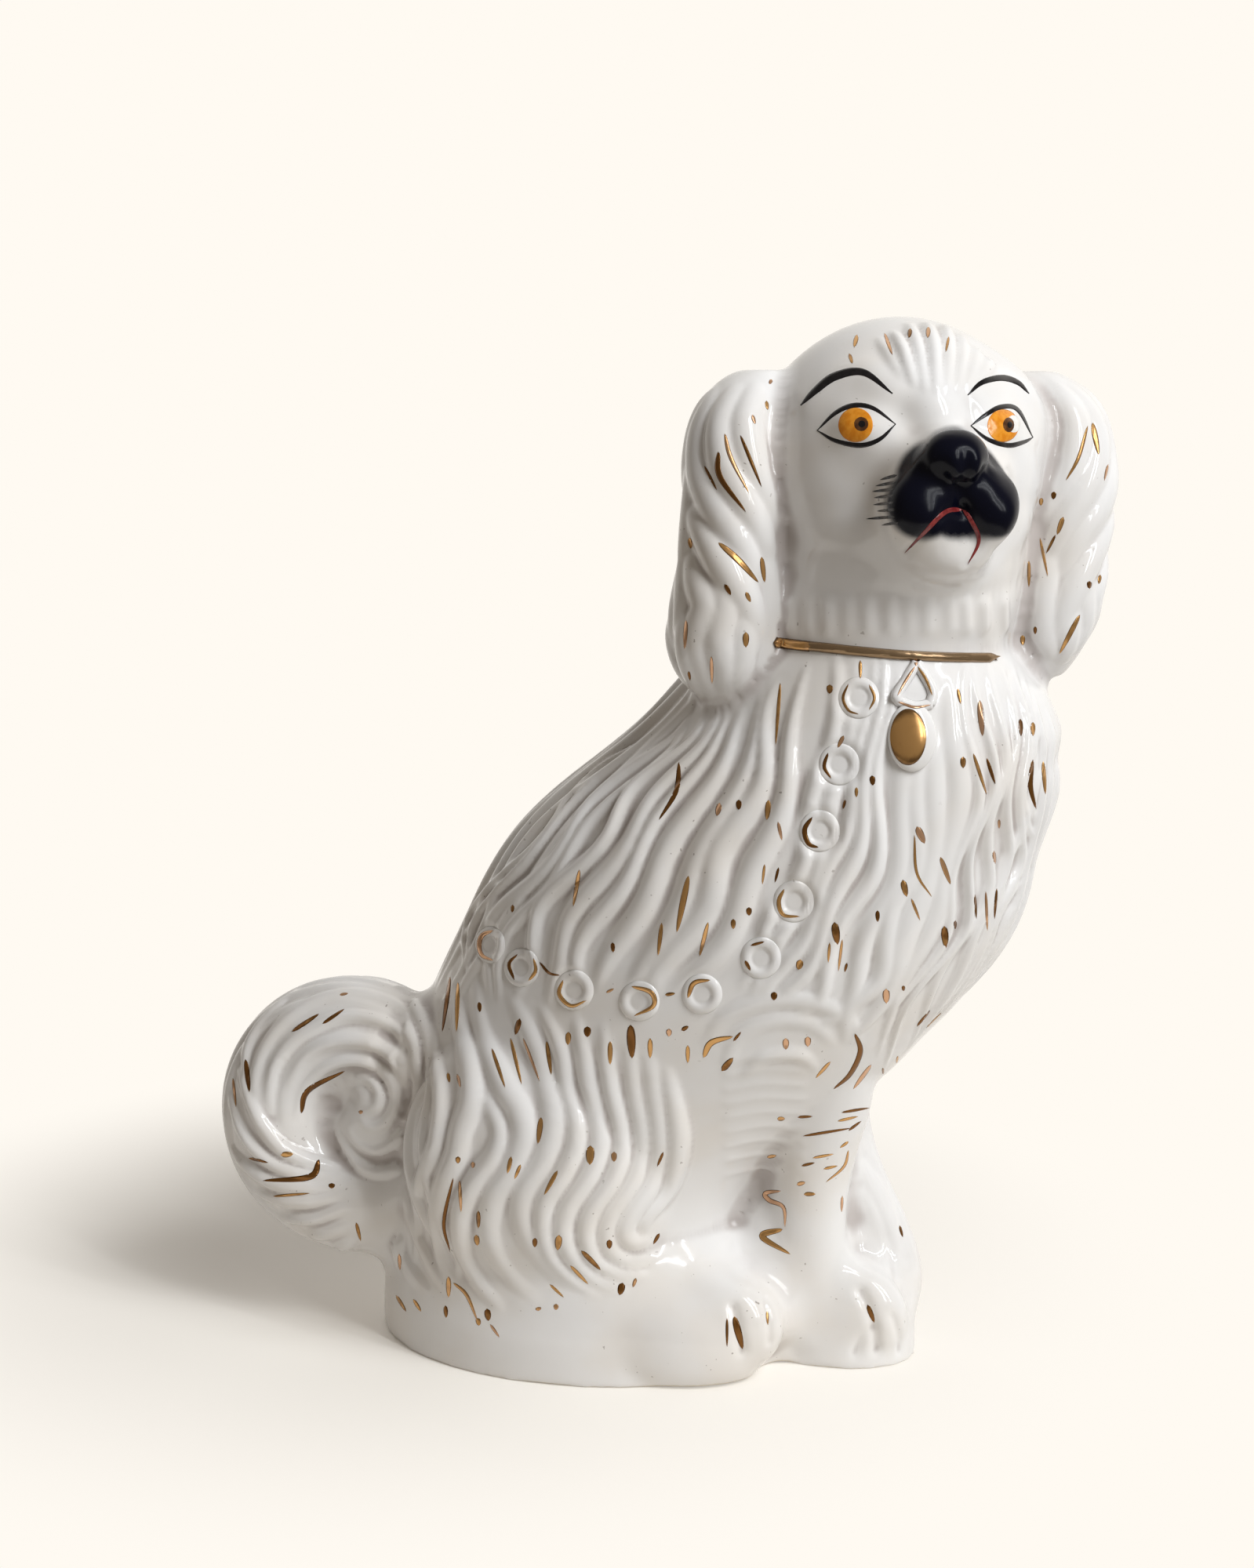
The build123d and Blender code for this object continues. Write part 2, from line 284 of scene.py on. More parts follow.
for warp_place, (right, ahead, up), warp_reach in face_warps:
    apart = np.linalg.norm(face_points - np.array(warp_place) * mm, axis=1)
    warp_shift = (face_right * right + face_ahead * ahead + Vector((0, 0, up))) * mm
    points += fading(apart, warp_core, warp_reach * mm)[:, None] * np.array(warp_shift)
seen_right = points @ np.array(view_right)
for (edge_right, right_inner, right_outer), (edge_z, z_inner, z_outer), edge_shift in edge_warps:
    share = fading(np.abs(seen_right - edge_right * mm), right_inner * mm, right_outer * mm)
    share *= fading(np.abs(points[:, 2] - edge_z * mm), z_inner * mm, z_outer * mm)
    points += share[:, None] * np.array(view_right) * edge_shift * mm
move_skin(points)
smooth_tree = mesh_tree(skin)
cad_tree = BVHTree.FromPolygons(cad_corners, cad_faces)
skin_owner = np.array(
    [cad_owner[cad_tree.find_nearest(vertex.co)[2]] for vertex in skin.vertices]
)


def owned_by(*names):
    """Which of the skin's points belong to the named clay pieces."""
    return np.isin(skin_owner, [clay_names.index(name) for name in names])


# The hair
# The mould gives the coat its long wavy locks: rounded ridges with soft grooves between them,
# combed from the neck over the back, down the chest and in S-curves over the haunch.
hair_rise = 2.8 * mm
back_rise = 1.12 * hair_rise
chest_rise = 0.95 * hair_rise
rump_rise = 0.6 * hair_rise
shoulder_rise = 0.4 * hair_rise
root_rise = 0.7 * hair_rise
crown_rise = 0.8 * hair_rise
crown_end_rise = 0.4 * hair_rise
nape_rise = 0.65 * hair_rise
tail_rise = 0.8 * hair_rise
rim_rise = 0.6 * hair_rise
hair_gap = 31
haunch_gap = 33
rump_gap = 26
shoulder_gap = 24
root_gap = 20
ear_gap = 40
crown_gap = 20
crown_end_gap = 17
tail_gap = 21
hair_wave = 9
back_turns = 2.4
back_cut = 0.08
chest_turns = 2.6
chest_cut = 0.03
lock_half_widths = (1.5 * mm, 6 * mm)
lock_stray = 0.22
phase_stray = 0.1
phase_step = 0.06
swing_shares = (0.6, 1.3)
turn_shares = (0.85, 1.15)
width_shares = (0.5, 0.66)
rise_shares = (0.75, 1.1)
hair_seed = random.Random(4)
pixel_size = 0.245 * mm
hair_step = 0.9 * mm
hair_break = 9 * mm
ridges_near = 14
back_guides = (
    ((1035, 846), (1020, 960), (1000, 1050), (972, 1130), (930, 1205), (880, 1262)),
    ((990, 850), (960, 960), (925, 1050), (885, 1130), (840, 1215), (800, 1290)),
    ((945, 900), (900, 970), (850, 1050), (800, 1130), (755, 1205), (735, 1290)),
    ((905, 905), (850, 970), (790, 1045), (730, 1120), (680, 1195), (660, 1280)),
    ((880, 900), (815, 965), (740, 1040), (675, 1110), (622, 1180), (600, 1270)),
    ((868, 900), (792, 963), (707, 1042), (642, 1114), (592, 1190), (565, 1262)),
)
chest_guides = (
    ((1060, 830), (1045, 960), (1025, 1050), (1000, 1130), (965, 1200), (930, 1260)),
    ((1110, 832), (1095, 960), (1075, 1050), (1045, 1140), (1005, 1220), (960, 1290)),
    ((1140, 840), (1130, 980), (1115, 1080), (1090, 1170), (1050, 1250), (1020, 1300)),
    ((1185, 960), (1180, 1050), (1165, 1140), (1135, 1220), (1110, 1290), (1080, 1330)),
    ((1225, 832), (1230, 960), (1223, 1060), (1200, 1160), (1160, 1250), (1112, 1350)),
    ((1262, 832), (1270, 960), (1264, 1060), (1240, 1160), (1195, 1250), (1124, 1380)),
    ((1298, 852), (1306, 960), (1300, 1060), (1278, 1150), (1234, 1235), (1140, 1390)),
    ((1324, 890), (1327, 970), (1318, 1060), (1298, 1140), (1262, 1210), (1165, 1370)),
)
haunch_guides = (
    ((548, 1300), (556, 1354), (562, 1395), (560, 1437), (552, 1472), (534, 1515), (528, 1560)),
    ((575, 1240), (585, 1300), (598, 1360), (600, 1404), (588, 1441), (581, 1474), (563, 1520),
     (556, 1565), (566, 1610), (590, 1655)),
    ((618, 1400), (637, 1441), (631, 1474), (606, 1508), (588, 1548), (590, 1595), (614, 1640), (640, 1668)),
    ((604, 1245), (614, 1312), (643, 1383), (662, 1416), (668, 1449), (655, 1487), (631, 1524),
     (622, 1561), (631, 1599), (655, 1632), (689, 1661)),
    ((650, 1270), (676, 1321), (697, 1375), (707, 1416), (705, 1449), (693, 1483), (672, 1516),
     (666, 1549), (676, 1582), (705, 1620), (734, 1644)),
    ((690, 1285), (714, 1337), (722, 1383), (734, 1424), (734, 1462), (718, 1499), (697, 1532),
     (693, 1566), (703, 1603), (730, 1632), (763, 1651)),
    ((735, 1300), (743, 1341), (751, 1383), (761, 1424), (765, 1458), (753, 1495), (726, 1537),
     (718, 1570), (730, 1603), (759, 1632), (796, 1644)),
    ((770, 1310), (772, 1346), (780, 1391), (790, 1433), (792, 1466), (780, 1503), (755, 1541),
     (747, 1574), (759, 1607), (792, 1626), (826, 1626)),
    ((801, 1330), (809, 1395), (817, 1433), (817, 1470), (805, 1507), (780, 1545), (772, 1574),
     (782, 1599), (809, 1609), (838, 1599)),
    ((826, 1345), (834, 1395), (840, 1437), (840, 1474), (828, 1512), (805, 1545), (796, 1570),
     (809, 1586), (834, 1582)),
    ((850, 1365), (859, 1412), (863, 1449), (859, 1487), (846, 1524), (826, 1553), (821, 1570)),
)
rump_guides = (
    ((489, 1532), (500, 1575), (520, 1615), (545, 1650)),
    ((515, 1520), (530, 1570), (552, 1615), (578, 1655)),
)
root_guides = (
    ((470, 1258), (520, 1275), (545, 1320), (548, 1390), (530, 1450)),
    ((500, 1290), (528, 1330), (533, 1390), (515, 1440)),
)
shoulder_guides = (
    ((899, 1333), (924, 1299), (975, 1278), (1034, 1278), (1080, 1299), (1097, 1333)),
    ((924, 1366), (941, 1324), (983, 1303), (1034, 1307), (1063, 1333)),
    ((949, 1370), (975, 1349), (1017, 1345), (1042, 1366)),
)
ear_guides = (
    ((890, 540), (880, 600), (875, 680), (868, 760), (866, 830), (874, 885)),
    ((908, 497), (887, 550), (888, 605), (912, 650), (944, 692), (968, 738)),
    ((938, 494), (917, 540), (922, 590), (946, 632), (970, 672), (985, 712)),
    ((966, 494), (951, 540), (960, 592), (980, 640), (988, 680)),
    ((872, 610), (880, 655), (908, 702), (938, 745), (960, 790), (966, 845)),
    ((872, 700), (884, 740), (900, 775), (886, 815), (892, 855), (904, 886)),
    ((912, 735), (926, 770), (917, 812), (925, 850), (924, 884)),
    ((944, 770), (950, 810), (945, 848), (936, 876)),
    ((872, 780), (874, 820), (880, 855), (892, 888)),
    ((984, 715), (985, 770), (980, 820), (962, 858)),
)
crown_guides = (
    ((1152, 486), (1134, 452), (1120, 430)),
    ((1166, 494), (1151, 449), (1139, 422)),
    ((1179, 500), (1170, 446), (1159, 412)),
    ((1193, 503), (1190, 446), (1182, 411)),
    ((1206, 503), (1209, 446), (1205, 413)),
    ((1218, 500), (1227, 452), (1226, 426)),
    ((1230, 495), (1243, 460), (1244, 444)),
    ((1242, 488), (1256, 468), (1260, 460)),
)
tail_guides = (
    ((346, 1433), (344, 1395), (352, 1358), (377, 1325), (415, 1304), (456, 1296), (498, 1308), (527, 1341)),
    ((327, 1416), (323, 1379), (336, 1337), (365, 1300), (406, 1275), (456, 1267), (502, 1279), (531, 1304)),
    ((311, 1379), (319, 1333), (348, 1292), (390, 1258), (440, 1246), (489, 1250), (523, 1267)),
    ((435, 1489), (398, 1483), (361, 1466), (336, 1437), (317, 1400), (303, 1354)),
    ((435, 1499), (394, 1499), (348, 1484), (315, 1453), (298, 1412), (292, 1375)),
    ((435, 1509), (394, 1514), (344, 1506), (306, 1478), (291, 1440), (286, 1405)),
    ((436, 1522), (394, 1532), (344, 1527), (308, 1503), (292, 1470)),
    ((440, 1541), (398, 1554), (354, 1551), (320, 1532), (302, 1508)),
    ((444, 1563), (406, 1575), (367, 1574), (336, 1558)),
    ((450, 1584), (415, 1595), (384, 1592)),
    ((523, 1341), (539, 1383), (543, 1424), (531, 1466), (502, 1491), (469, 1491), (444, 1466), (427, 1437)),
    ((369, 1385), (384, 1354), (411, 1333), (448, 1327), (485, 1335), (512, 1362), (523, 1395),
     (520, 1430), (505, 1455), (481, 1468), (456, 1458), (441, 1436)),
    ((377, 1424), (388, 1390), (415, 1362), (448, 1352), (481, 1360), (501, 1383), (504, 1408),
     (492, 1431), (473, 1438), (457, 1426)),
    ((448, 1375), (470, 1376), (484, 1392), (480, 1411), (465, 1417)),
)


def along(path, share):
    """The point at a share of a polyline, on a curve through its corners."""
    corners = [np.array(corner, dtype=float) for corner in path]
    closed = math.dist(path[0], path[-1]) < 0.01
    corners.insert(0, corners[-2] if closed else 2 * corners[0] - corners[1])
    corners.append(corners[2] if closed else 2 * corners[-1] - corners[-2])
    place = (share % 1 if closed else min(share, 0.9999)) * (len(path) - 1)
    index = int(place)
    part = place - index
    before, start, end, after = corners[index:index + 4]
    return 0.5 * (
        2 * start
        + (end - before) * part
        + (2 * before - 5 * start + 4 * end - after) * part ** 2
        + (3 * start - before - 3 * end + after) * part ** 3
    )


def combed(guides, gap, wave, turns, cut, steps=60):
    """Locks of hair laid between guide lines, each as its photo points and its width in pixels."""
    lines = [[along(guide, k / steps) for k in range(steps + 1)] for guide in guides]
    widths = [
        [np.linalg.norm(b - a) for a, b in zip(left, right)] for left, right in zip(lines, lines[1:])
    ]
    count = max(1, round(sum(max(row) for row in widths) / gap))
    spread = (len(guides) - 1) / count
    locks = []
    for number in range(count):
        place = (number + 0.5 + hair_seed.uniform(-lock_stray, lock_stray)) * spread
        left = min(int(place), len(guides) - 2)
        part = place - left
        swing = wave * hair_seed.uniform(*swing_shares)
        bends = turns * hair_seed.uniform(*turn_shares)
        phase = hair_seed.uniform(-phase_stray, phase_stray) + phase_step * number
        lock = []
        for k, (a, b) in enumerate(zip(lines[left], lines[left + 1])):
            apart = max(widths[left][k], 1)
            sway = swing * math.sin(2 * math.pi * (bends * k / steps + phase))
            lock.append((a + (b - a) * (part + sway / apart), apart * spread))
        cut_start = int(hair_seed.uniform(0, cut) * steps)
        cut_end = steps - int(hair_seed.uniform(0, cut) * steps)
        locks.append(lock[cut_start:cut_end + 1])
    return locks


def traced(guides, gap, steps=50):
    """Locks of one width, in pixels, that follow the guide lines themselves."""
    return [[(along(guide, k / steps), gap) for k in range(steps + 1)] for guide in guides]


class Coat:
    """The ridge lines of one part of the coat, and how high they stand at any point."""

    def __init__(self):
        self.ridges = []

    def add(self, points, half_widths, rise):
        """One lock: its points on the skin, its half width at each, and its height."""
        line = []
        for k in range(len(points) - 1):
            gap = (points[k + 1] - points[k]).length
            cuts = max(1, math.ceil(gap / hair_step))
            for cut in range(cuts):
                part = cut / cuts
                point = points[k].lerp(points[k + 1], part)
                wide = half_widths[k] + (half_widths[k + 1] - half_widths[k]) * part
                line.append((smooth_tree.find_nearest(point)[0], wide))
        last = len(line) - 1
        for k, (point, wide) in enumerate(line):
            taper = math.sin(math.pi * (k + 0.6) / (last + 1.2)) ** 0.7
            self.ridges.append((point, wide * (0.45 + 0.55 * taper), rise * taper))

    def lay(self, hits, half_widths, rise):
        """One lock given as points found on the skin, cut where they jump to another form."""
        run = []
        for hit, wide in [*zip(hits, half_widths), (None, 0)]:
            ended = hit is None or (run and (hit - run[-1][0]).length > hair_break)
            if ended and len(run) > 4:
                self.add([point for point, _ in run], [width for _, width in run], rise)
            if ended:
                run = []
            if hit is not None:
                run.append((hit, wide))

    def press(self, locks, rise):
        """Locks given in photo points, laid on the smooth skin."""
        for lock in locks:
            hits = [smooth_tree.ray_cast(eye_point, sight(pixel))[0] for pixel, _ in lock]
            full = hair_seed.uniform(*width_shares)
            wide = [full * gap * pixel_size for _, gap in lock]
            self.lay(hits, np.clip(wide, *lock_half_widths), rise * hair_seed.uniform(*rise_shares))

    def finish(self):
        """Makes the ridges ready to be searched."""
        self.tree = KDTree(len(self.ridges))
        for index, ridge in enumerate(self.ridges):
            self.tree.insert(ridge[0], index)
        self.tree.balance()

    def rise(self, point):
        """The height of the coat at a point, from the highest ridge near it."""
        best = 0
        for _, index, distance in self.tree.find_n(point, ridges_near):
            _, half_width, height = self.ridges[index]
            near = 1 - (distance / half_width) ** 2
            if near > 0:
                best = max(best, height * near)
        return best


lock_step = 1.5
upright_starts = (0, 14)
upright_ends = (-12, 12)
upright_swings = (1.2, 3.2)
upright_bends = (11, 15)
upright_phases = (0, 1.5)
upright_widths = (3.2, 4.2)
upright_rises = (0.7, 1)
upright_locks = (
    (-300, (0, -6, -12.5, -19, -26, -33), 248, 98),
    (300, (0, -7, -14, -21.5), 222, 118),
    (-300, (-21, -27, -33, -39, -45), 96, 34),
)


def cast_lock(coat, lines, half_width, rise):
    """One lock laid where lines, each a start and a direction, meet the skin."""
    hits = [smooth_tree.ray_cast(start, direction)[0] for start, direction in lines]
    coat.lay(hits, [half_width] * len(hits), rise)


def upright_lock(coat, x, y, top, bottom):
    """A wavy lock down the back or the chest, cast from far off at x towards the middle."""
    first = top - hair_seed.uniform(*upright_starts)
    last = bottom + hair_seed.uniform(*upright_ends)
    swing = hair_seed.uniform(*upright_swings)
    bend = hair_seed.uniform(*upright_bends)
    phase = hair_seed.uniform(*upright_phases)
    lines = []
    for z in np.arange(first, last, -lock_step):
        place = Vector((x, y + swing * math.sin(z / bend + phase), z)) * mm
        lines.append((place, Vector((-math.copysign(1, x), 0, 0))))
    half_width = hair_seed.uniform(*upright_widths) * mm
    cast_lock(coat, lines, half_width, hair_rise * hair_seed.uniform(*upright_rises))


body_coat = Coat()
body_coat.press(combed(back_guides, hair_gap, hair_wave, back_turns, back_cut), back_rise)
body_coat.press(combed(chest_guides, hair_gap, hair_wave, chest_turns, chest_cut), chest_rise)
body_coat.press(traced(haunch_guides, haunch_gap), hair_rise)
body_coat.press(traced(rump_guides, rump_gap), rump_rise)
body_coat.press(traced(shoulder_guides, shoulder_gap), shoulder_rise)
body_coat.press(traced(root_guides, root_gap), root_rise)
for cast_x, rows, top, bottom in upright_locks:
    for row in rows:
        upright_lock(body_coat, cast_x, row, top, bottom)
body_coat.finish()

ear_coat = Coat()
ear_coat.press(traced(ear_guides, ear_gap), hair_rise)
ear_coat.finish()

head_coat = Coat()
head_coat.press(traced(crown_guides[1:], crown_gap), crown_rise)
head_coat.press(traced(crown_guides[:1], crown_end_gap), crown_end_rise)
nape_step = math.radians(8)
nape_locks = range(-11, 12)
nape_tops = (316, 292)
nape_turned_away = -0.5
nape_starts = (0, 8)
nape_end = 224
nape_swings = (0.8, 2.2)
nape_bends = (9, 12)
nape_phase = 0.3
nape_half_width = 3.6 * mm
cast_distance = 150 * mm
for number in nape_locks:
    angle = nape_step * number
    outward = -face_ahead * math.cos(angle) + face_right * math.sin(angle)
    sideways = Vector((-outward.y, outward.x, 0))
    swing = hair_seed.uniform(*nape_swings) * mm
    bend = hair_seed.uniform(*nape_bends) * mm
    lines = []
    crown = nape_tops[0] if outward.dot(towards_viewer) < nape_turned_away else nape_tops[1]
    for z in np.arange(crown - hair_seed.uniform(*nape_starts), nape_end, -lock_step):
        sway = swing * math.sin(z * mm / bend + nape_phase * number)
        place = head_place + outward * cast_distance + sideways * sway + Vector((0, 0, z * mm))
        lines.append((place, -outward))
    cast_lock(head_coat, lines, nape_half_width, nape_rise)
head_coat.finish()

tail_coat = Coat()
tail_coat.press(traced(tail_guides, tail_gap), tail_rise)
tail_eye = (450, 1408)
tail_y = -12 * mm
rim_rows = (0, -5.5, -11)
rim_start = 75
rim_turn = 2.4
rim_count = 90
rim_distance = 90 * mm
rim_half_width = 3.2 * mm
tail_heart = smooth_tree.ray_cast(eye_point, sight(tail_eye))[0]
for rim_y in rim_rows:
    lines = []
    for step in range(rim_count):
        angle = math.radians(rim_start + rim_turn * step)
        outward = Vector((math.cos(angle), 0, math.sin(angle)))
        place = Vector((tail_heart.x, tail_y + rim_y * mm, tail_heart.z)) + outward * rim_distance
        lines.append((place, -outward))
    cast_lock(tail_coat, lines, rim_half_width, rim_rise)
tail_coat.finish()

points = skin_points()
rise = np.zeros(skin_count)
on_body = owned_by("body_near_half", "body_far_half")
on_head = owned_by("head_face_half", "head_back_half")
on_ear = owned_by("near_ear", "far_ear")
on_tail = owned_by("tail")
for index in np.nonzero(on_body)[0]:
    x, y, z = points[index]
    rise[index] = body_coat.rise((x, -abs(y), z))
for index in np.nonzero(on_head)[0]:
    rise[index] = head_coat.rise(points[index])
ear_middle = 5 * mm
for index in np.nonzero(on_ear)[0]:
    offset = Vector(points[index]) - head_place
    sideways = -abs(offset.dot(face_right))
    ahead = ear_middle + abs(offset.dot(face_ahead) - ear_middle)
    folded = head_place + face_right * sideways + face_ahead * ahead
    rise[index] = ear_coat.rise((folded.x, folded.y, points[index][2]))
for index in np.nonzero(on_tail)[0]:
    x, y, z = points[index]
    rise[index] = tail_coat.rise((x, tail_y - abs(y - tail_y), z))

# Pressed detail
# The same mould gives the face its brow and eyeballs, the throat its fluted ruff and the feet
# their toes. Grooves and swellings follow lines on the face, throat, legs and feet.
chain_places = (
    (1095, 890), (1070, 975), (1045, 1060), (1012, 1150), (970, 1222),
    (895, 1268), (815, 1277), (732, 1263), (665, 1234), (625, 1205),
)
chain_sizes = (
    (20, 21), (20, 21), (20, 21), (20, 21), (20, 21),
    (20, 20), (20, 20), (19, 20), (17, 19), (13, 18),
)
swellings = (
    (((1085, 545), (1100, 545)), 5.5, 2.0),
    (((1272, 545), (1286, 545)), 5.0, 1.8),
    (((1030, 508), (1062, 480), (1100, 472), (1136, 494)), 5.5, 1.2),
    (((1240, 498), (1278, 478), (1312, 498)), 5.0, 1.0),
    (((1203, 578), (1236, 582)), 7.0, 2.2),
    (((1158, 640), (1182, 652)), 7.5, 1.8),
    (((1262, 640), (1274, 652)), 6.0, 1.8),
    (((1190, 505), (1202, 530), (1210, 550)), 7.0, 1.6),
    (((1150, 528), (1162, 545)), 4.5, -1.3),
    (((1236, 524), (1234, 540)), 3.5, -1.0),
    (((1084, 606), (1110, 628)), 9.0, -1.2),
    (((1180, 600), (1198, 613), (1224, 619), (1248, 612), (1260, 600)), 2.6, -1.3),
    (((1215, 586), (1217, 602)), 2.8, 1.0),
    (((1238, 588), (1240, 604)), 2.6, 1.0),
    (((1227, 584), (1228, 606)), 1.6, -0.9),
    (((1202, 596), (1206, 606)), 2.0, -0.8),
    (((1250, 598), (1250, 606)), 1.8, -0.8),
    (((346, 1424), (350, 1383), (369, 1337), (402, 1312), (444, 1306), (485, 1317), (514, 1341)), 2.6, -1.2),
    (((428, 1412), (440, 1404)), 4.5, -2.4),
    (((1224, 620), (1228, 648)), 2.2, -1.4),
    (((1228, 649), (1206, 653), (1179, 680), (1153, 706)), 1.6, -1.0),
    (((1228, 649), (1238, 664), (1247, 690), (1234, 720)), 1.6, -0.9),
    (((1015, 735), (1060, 752), (1120, 762), (1190, 766), (1250, 760), (1300, 742)), 3.4, -0.5),
    (((936, 1668), (942, 1700), (947, 1724)), 1.8, -1.2),
    (((976, 1664), (981, 1690), (982, 1712)), 1.5, -0.9),
    (((1098, 1648), (1113, 1684), (1118, 1722)), 1.8, -1.3),
    (((1139, 1680), (1146, 1704), (1147, 1722)), 1.5, -0.8),
    (((1090, 1726), (1098, 1706), (1110, 1696)), 1.5, -0.8),
    (((1104, 1476), (1132, 1512), (1150, 1560), (1156, 1606)), 1.8, -0.6),
    (((1100, 1510), (1118, 1540), (1134, 1585), (1140, 1630)), 1.8, -0.5),
)
ring_clear = 4.5 * mm
ring_fade = 3 * mm
ruff_span = range(1008, 1290, 25)
ruff_rows = (770, 800)
ruff_radius = 2.2 * mm
ruff_stray = 4
ruff_rises = (0.6, 1.1)
leg_rows = range(1352, 1500, 18)
leg_radius = 1.4 * mm
leg_rise = 0.3 * mm
leg_bow = ((928, 2), (972, -6), (1022, -4))
line_steps = 30
line_reach = 2.6


def swollen(path, radius, height):
    """Lifts or dents the skin along a line of photo points."""
    reach = {}
    for step in range(line_steps):
        hit = smooth_tree.ray_cast(eye_point, sight(along(path, step / (line_steps - 1))))[0]
        if hit is not None:
            for _, index, distance in skin_search.find_range(hit, radius * line_reach):
                reach[index] = min(distance, reach.get(index, distance))
    for index, distance in reach.items():
        rise[index] += height * math.exp(-((distance / radius) ** 2))


skin_search = KDTree(skin_count)
for index, point in enumerate(points):
    skin_search.insert(point, index)
skin_search.balance()
for centre in chain_places:
    hit = smooth_tree.ray_cast(eye_point, sight(centre))[0]
    for _, index, distance in skin_search.find_range(hit, ring_clear + ring_fade):
        rise[index] *= min(1, max(0, distance - ring_clear) / ring_fade)
for path, radius, height in swellings:
    swollen(path, radius * mm, height * mm)
for x in ruff_span:
    x += hair_seed.uniform(-ruff_stray, ruff_stray)
    ruff_rise = hair_seed.uniform(*ruff_rises) * mm
    swollen(((x, ruff_rows[0]), (x + 1, ruff_rows[1])), ruff_radius, ruff_rise)
for y in leg_rows:
    swollen([(bow_x, y + bow_y) for bow_x, bow_y in leg_bow], leg_radius, leg_rise)
rise = brushed(rise, 2)[:, 0]
move_skin(points + skin_normals() * rise[:, None])


# The white glaze
# A clear lead glaze lies thick over white earthenware, glossy, with fine specks from the kiln.
# Grooves and creases are greyed, partly for the glaze pooling there and partly as painted shade.
# Black enamel is blown soft over the muzzle.
class Wire:
    """A node's socket; sums and products of wires become Math nodes."""

    def __init__(self, nodes, socket):
        self.nodes = nodes
        self.socket = socket

    @staticmethod
    def node(nodes, kind, settings=None, sockets=None, output=0):
        """A node of a type, with its settings, then its sockets' values or wires."""
        made = nodes.new(kind)
        for setting, value in (settings or {}).items():
            setattr(made, setting, value)
        for name, value in (sockets or {}).items():
            if isinstance(value, Wire):
                nodes.id_data.links.new(value.socket, made.inputs[name])
            else:
                made.inputs[name].default_value = value
        return Wire(nodes, made.outputs[output])

    def maths(self, operation, first, second):
        sockets = {0: first, 1: second}
        return Wire.node(self.nodes, "ShaderNodeMath", {"operation": operation}, sockets)

    def __add__(self, other):
        return self.maths("ADD", self, other)

    def __sub__(self, other):
        return self.maths("SUBTRACT", self, other)

    def __rsub__(self, other):
        return self.maths("SUBTRACT", other, self)

    def __mul__(self, other):
        return self.maths("MULTIPLY", self, other)

    __radd__ = __add__
    __rmul__ = __mul__


def colour(red, green, blue):
    """A colour read as 0 to 255 screen values, as the shader's linear values."""
    def linear(value):
        value /= 255
        return value / 12.92 if value <= 0.04045 else ((value + 0.055) / 1.055) ** 2.4
    return (linear(red), linear(green), linear(blue), 1)


def finish_of(name):
    """A new material and its empty list of nodes."""
    material = bpy.data.materials.new(name)
    material.use_nodes = True
    material.node_tree.nodes.clear()
    return material, material.node_tree.nodes


def close_finish(nodes, shader):
    output = nodes.new("ShaderNodeOutputMaterial")
    nodes.id_data.links.new(shader.socket, output.inputs["Surface"])


def mixed(nodes, share, first, second):
    """One colour laid over another by a share."""
    settings = {"data_type": "RGBA"}
    return Wire.node(nodes, "ShaderNodeMix", settings, {0: share, 6: first, 7: second}, output=2)


def stepped(nodes, value, low, high):
    """A wire turned into a soft step from 0 at low to 1 at high."""
    settings = {"interpolation_type": "SMOOTHSTEP"}
    sockets = {"Value": value, "From Min": low, "From Max": high}
    return Wire.node(nodes, "ShaderNodeMapRange", settings, sockets)


def noise(nodes, place, scale, detail=3):
    sockets = {"Vector": place, "Scale": scale, "Detail": detail}
    return Wire.node(nodes, "ShaderNodeTexNoise", None, sockets)


def painted(nodes, name):
    """A value laid on the mesh beforehand, point by point."""
    return Wire.node(nodes, "ShaderNodeAttribute", {"attribute_name": name}, output=2)


glaze_white = colour(230, 228, 226)
glaze_warm = colour(227, 222, 216)
pooled_glaze_and_shade_grey = colour(172, 162, 157)
speck_brown = colour(120, 105, 92)
clay_bare = colour(206, 196, 178)
muzzle_black = colour(9, 10, 22)
ripple_height = 0.4 * mm
white_glaze, nodes = finish_of("white_glaze")
place = Wire.node(nodes, "ShaderNodeTexCoord", output=3)
cloud = noise(nodes, place, 28)
# Painted shade: hollows of the skin are greyed, partly for pooled glaze and partly standing in for shade in
# grooves and creases.
pooling_and_shade_wire = stepped(nodes, painted(nodes, "pooling_and_shade") * (0.75 + 0.5 * cloud), 0.12, 0.95)
bare_wire = painted(nodes, "bare")
specks = noise(nodes, place, 620, 1)
speck_mask = stepped(nodes, specks, 0.75, 0.78) * stepped(nodes, cloud, 0.45, 0.62)
body_colour = mixed(nodes, stepped(nodes, cloud, 0.4, 0.7), glaze_white, glaze_warm)
body_colour = mixed(nodes, pooling_and_shade_wire * 0.75, body_colour, pooled_glaze_and_shade_grey)
body_colour = mixed(nodes, speck_mask * 0.6, body_colour, speck_brown)
body_colour = mixed(nodes, bare_wire, body_colour, clay_bare)
ripple = noise(nodes, place, 160, 2)
glaze_bump = Wire.node(nodes, "ShaderNodeBump", None,
                       {"Strength": 0.1, "Distance": ripple_height, "Height": ripple})
white_shader = Wire.node(nodes, "ShaderNodeBsdfPrincipled", None, {
    "Base Color": body_colour,
    "Roughness": 0.06 + 0.08 * cloud + 0.6 * bare_wire,
    "IOR": 1.5,
    "Normal": glaze_bump,
})
black_shader = Wire.node(nodes, "ShaderNodeBsdfPrincipled", None, {
    "Base Color": muzzle_black,
    "Roughness": 0.18 + 0.06 * cloud,
    "IOR": 1.25,
    "Normal": glaze_bump,
})
glaze_shader = Wire.node(nodes, "ShaderNodeMixShader", None,
                         {0: painted(nodes, "muzzle"), 1: white_shader, 2: black_shader})
close_finish(nodes, glaze_shader)

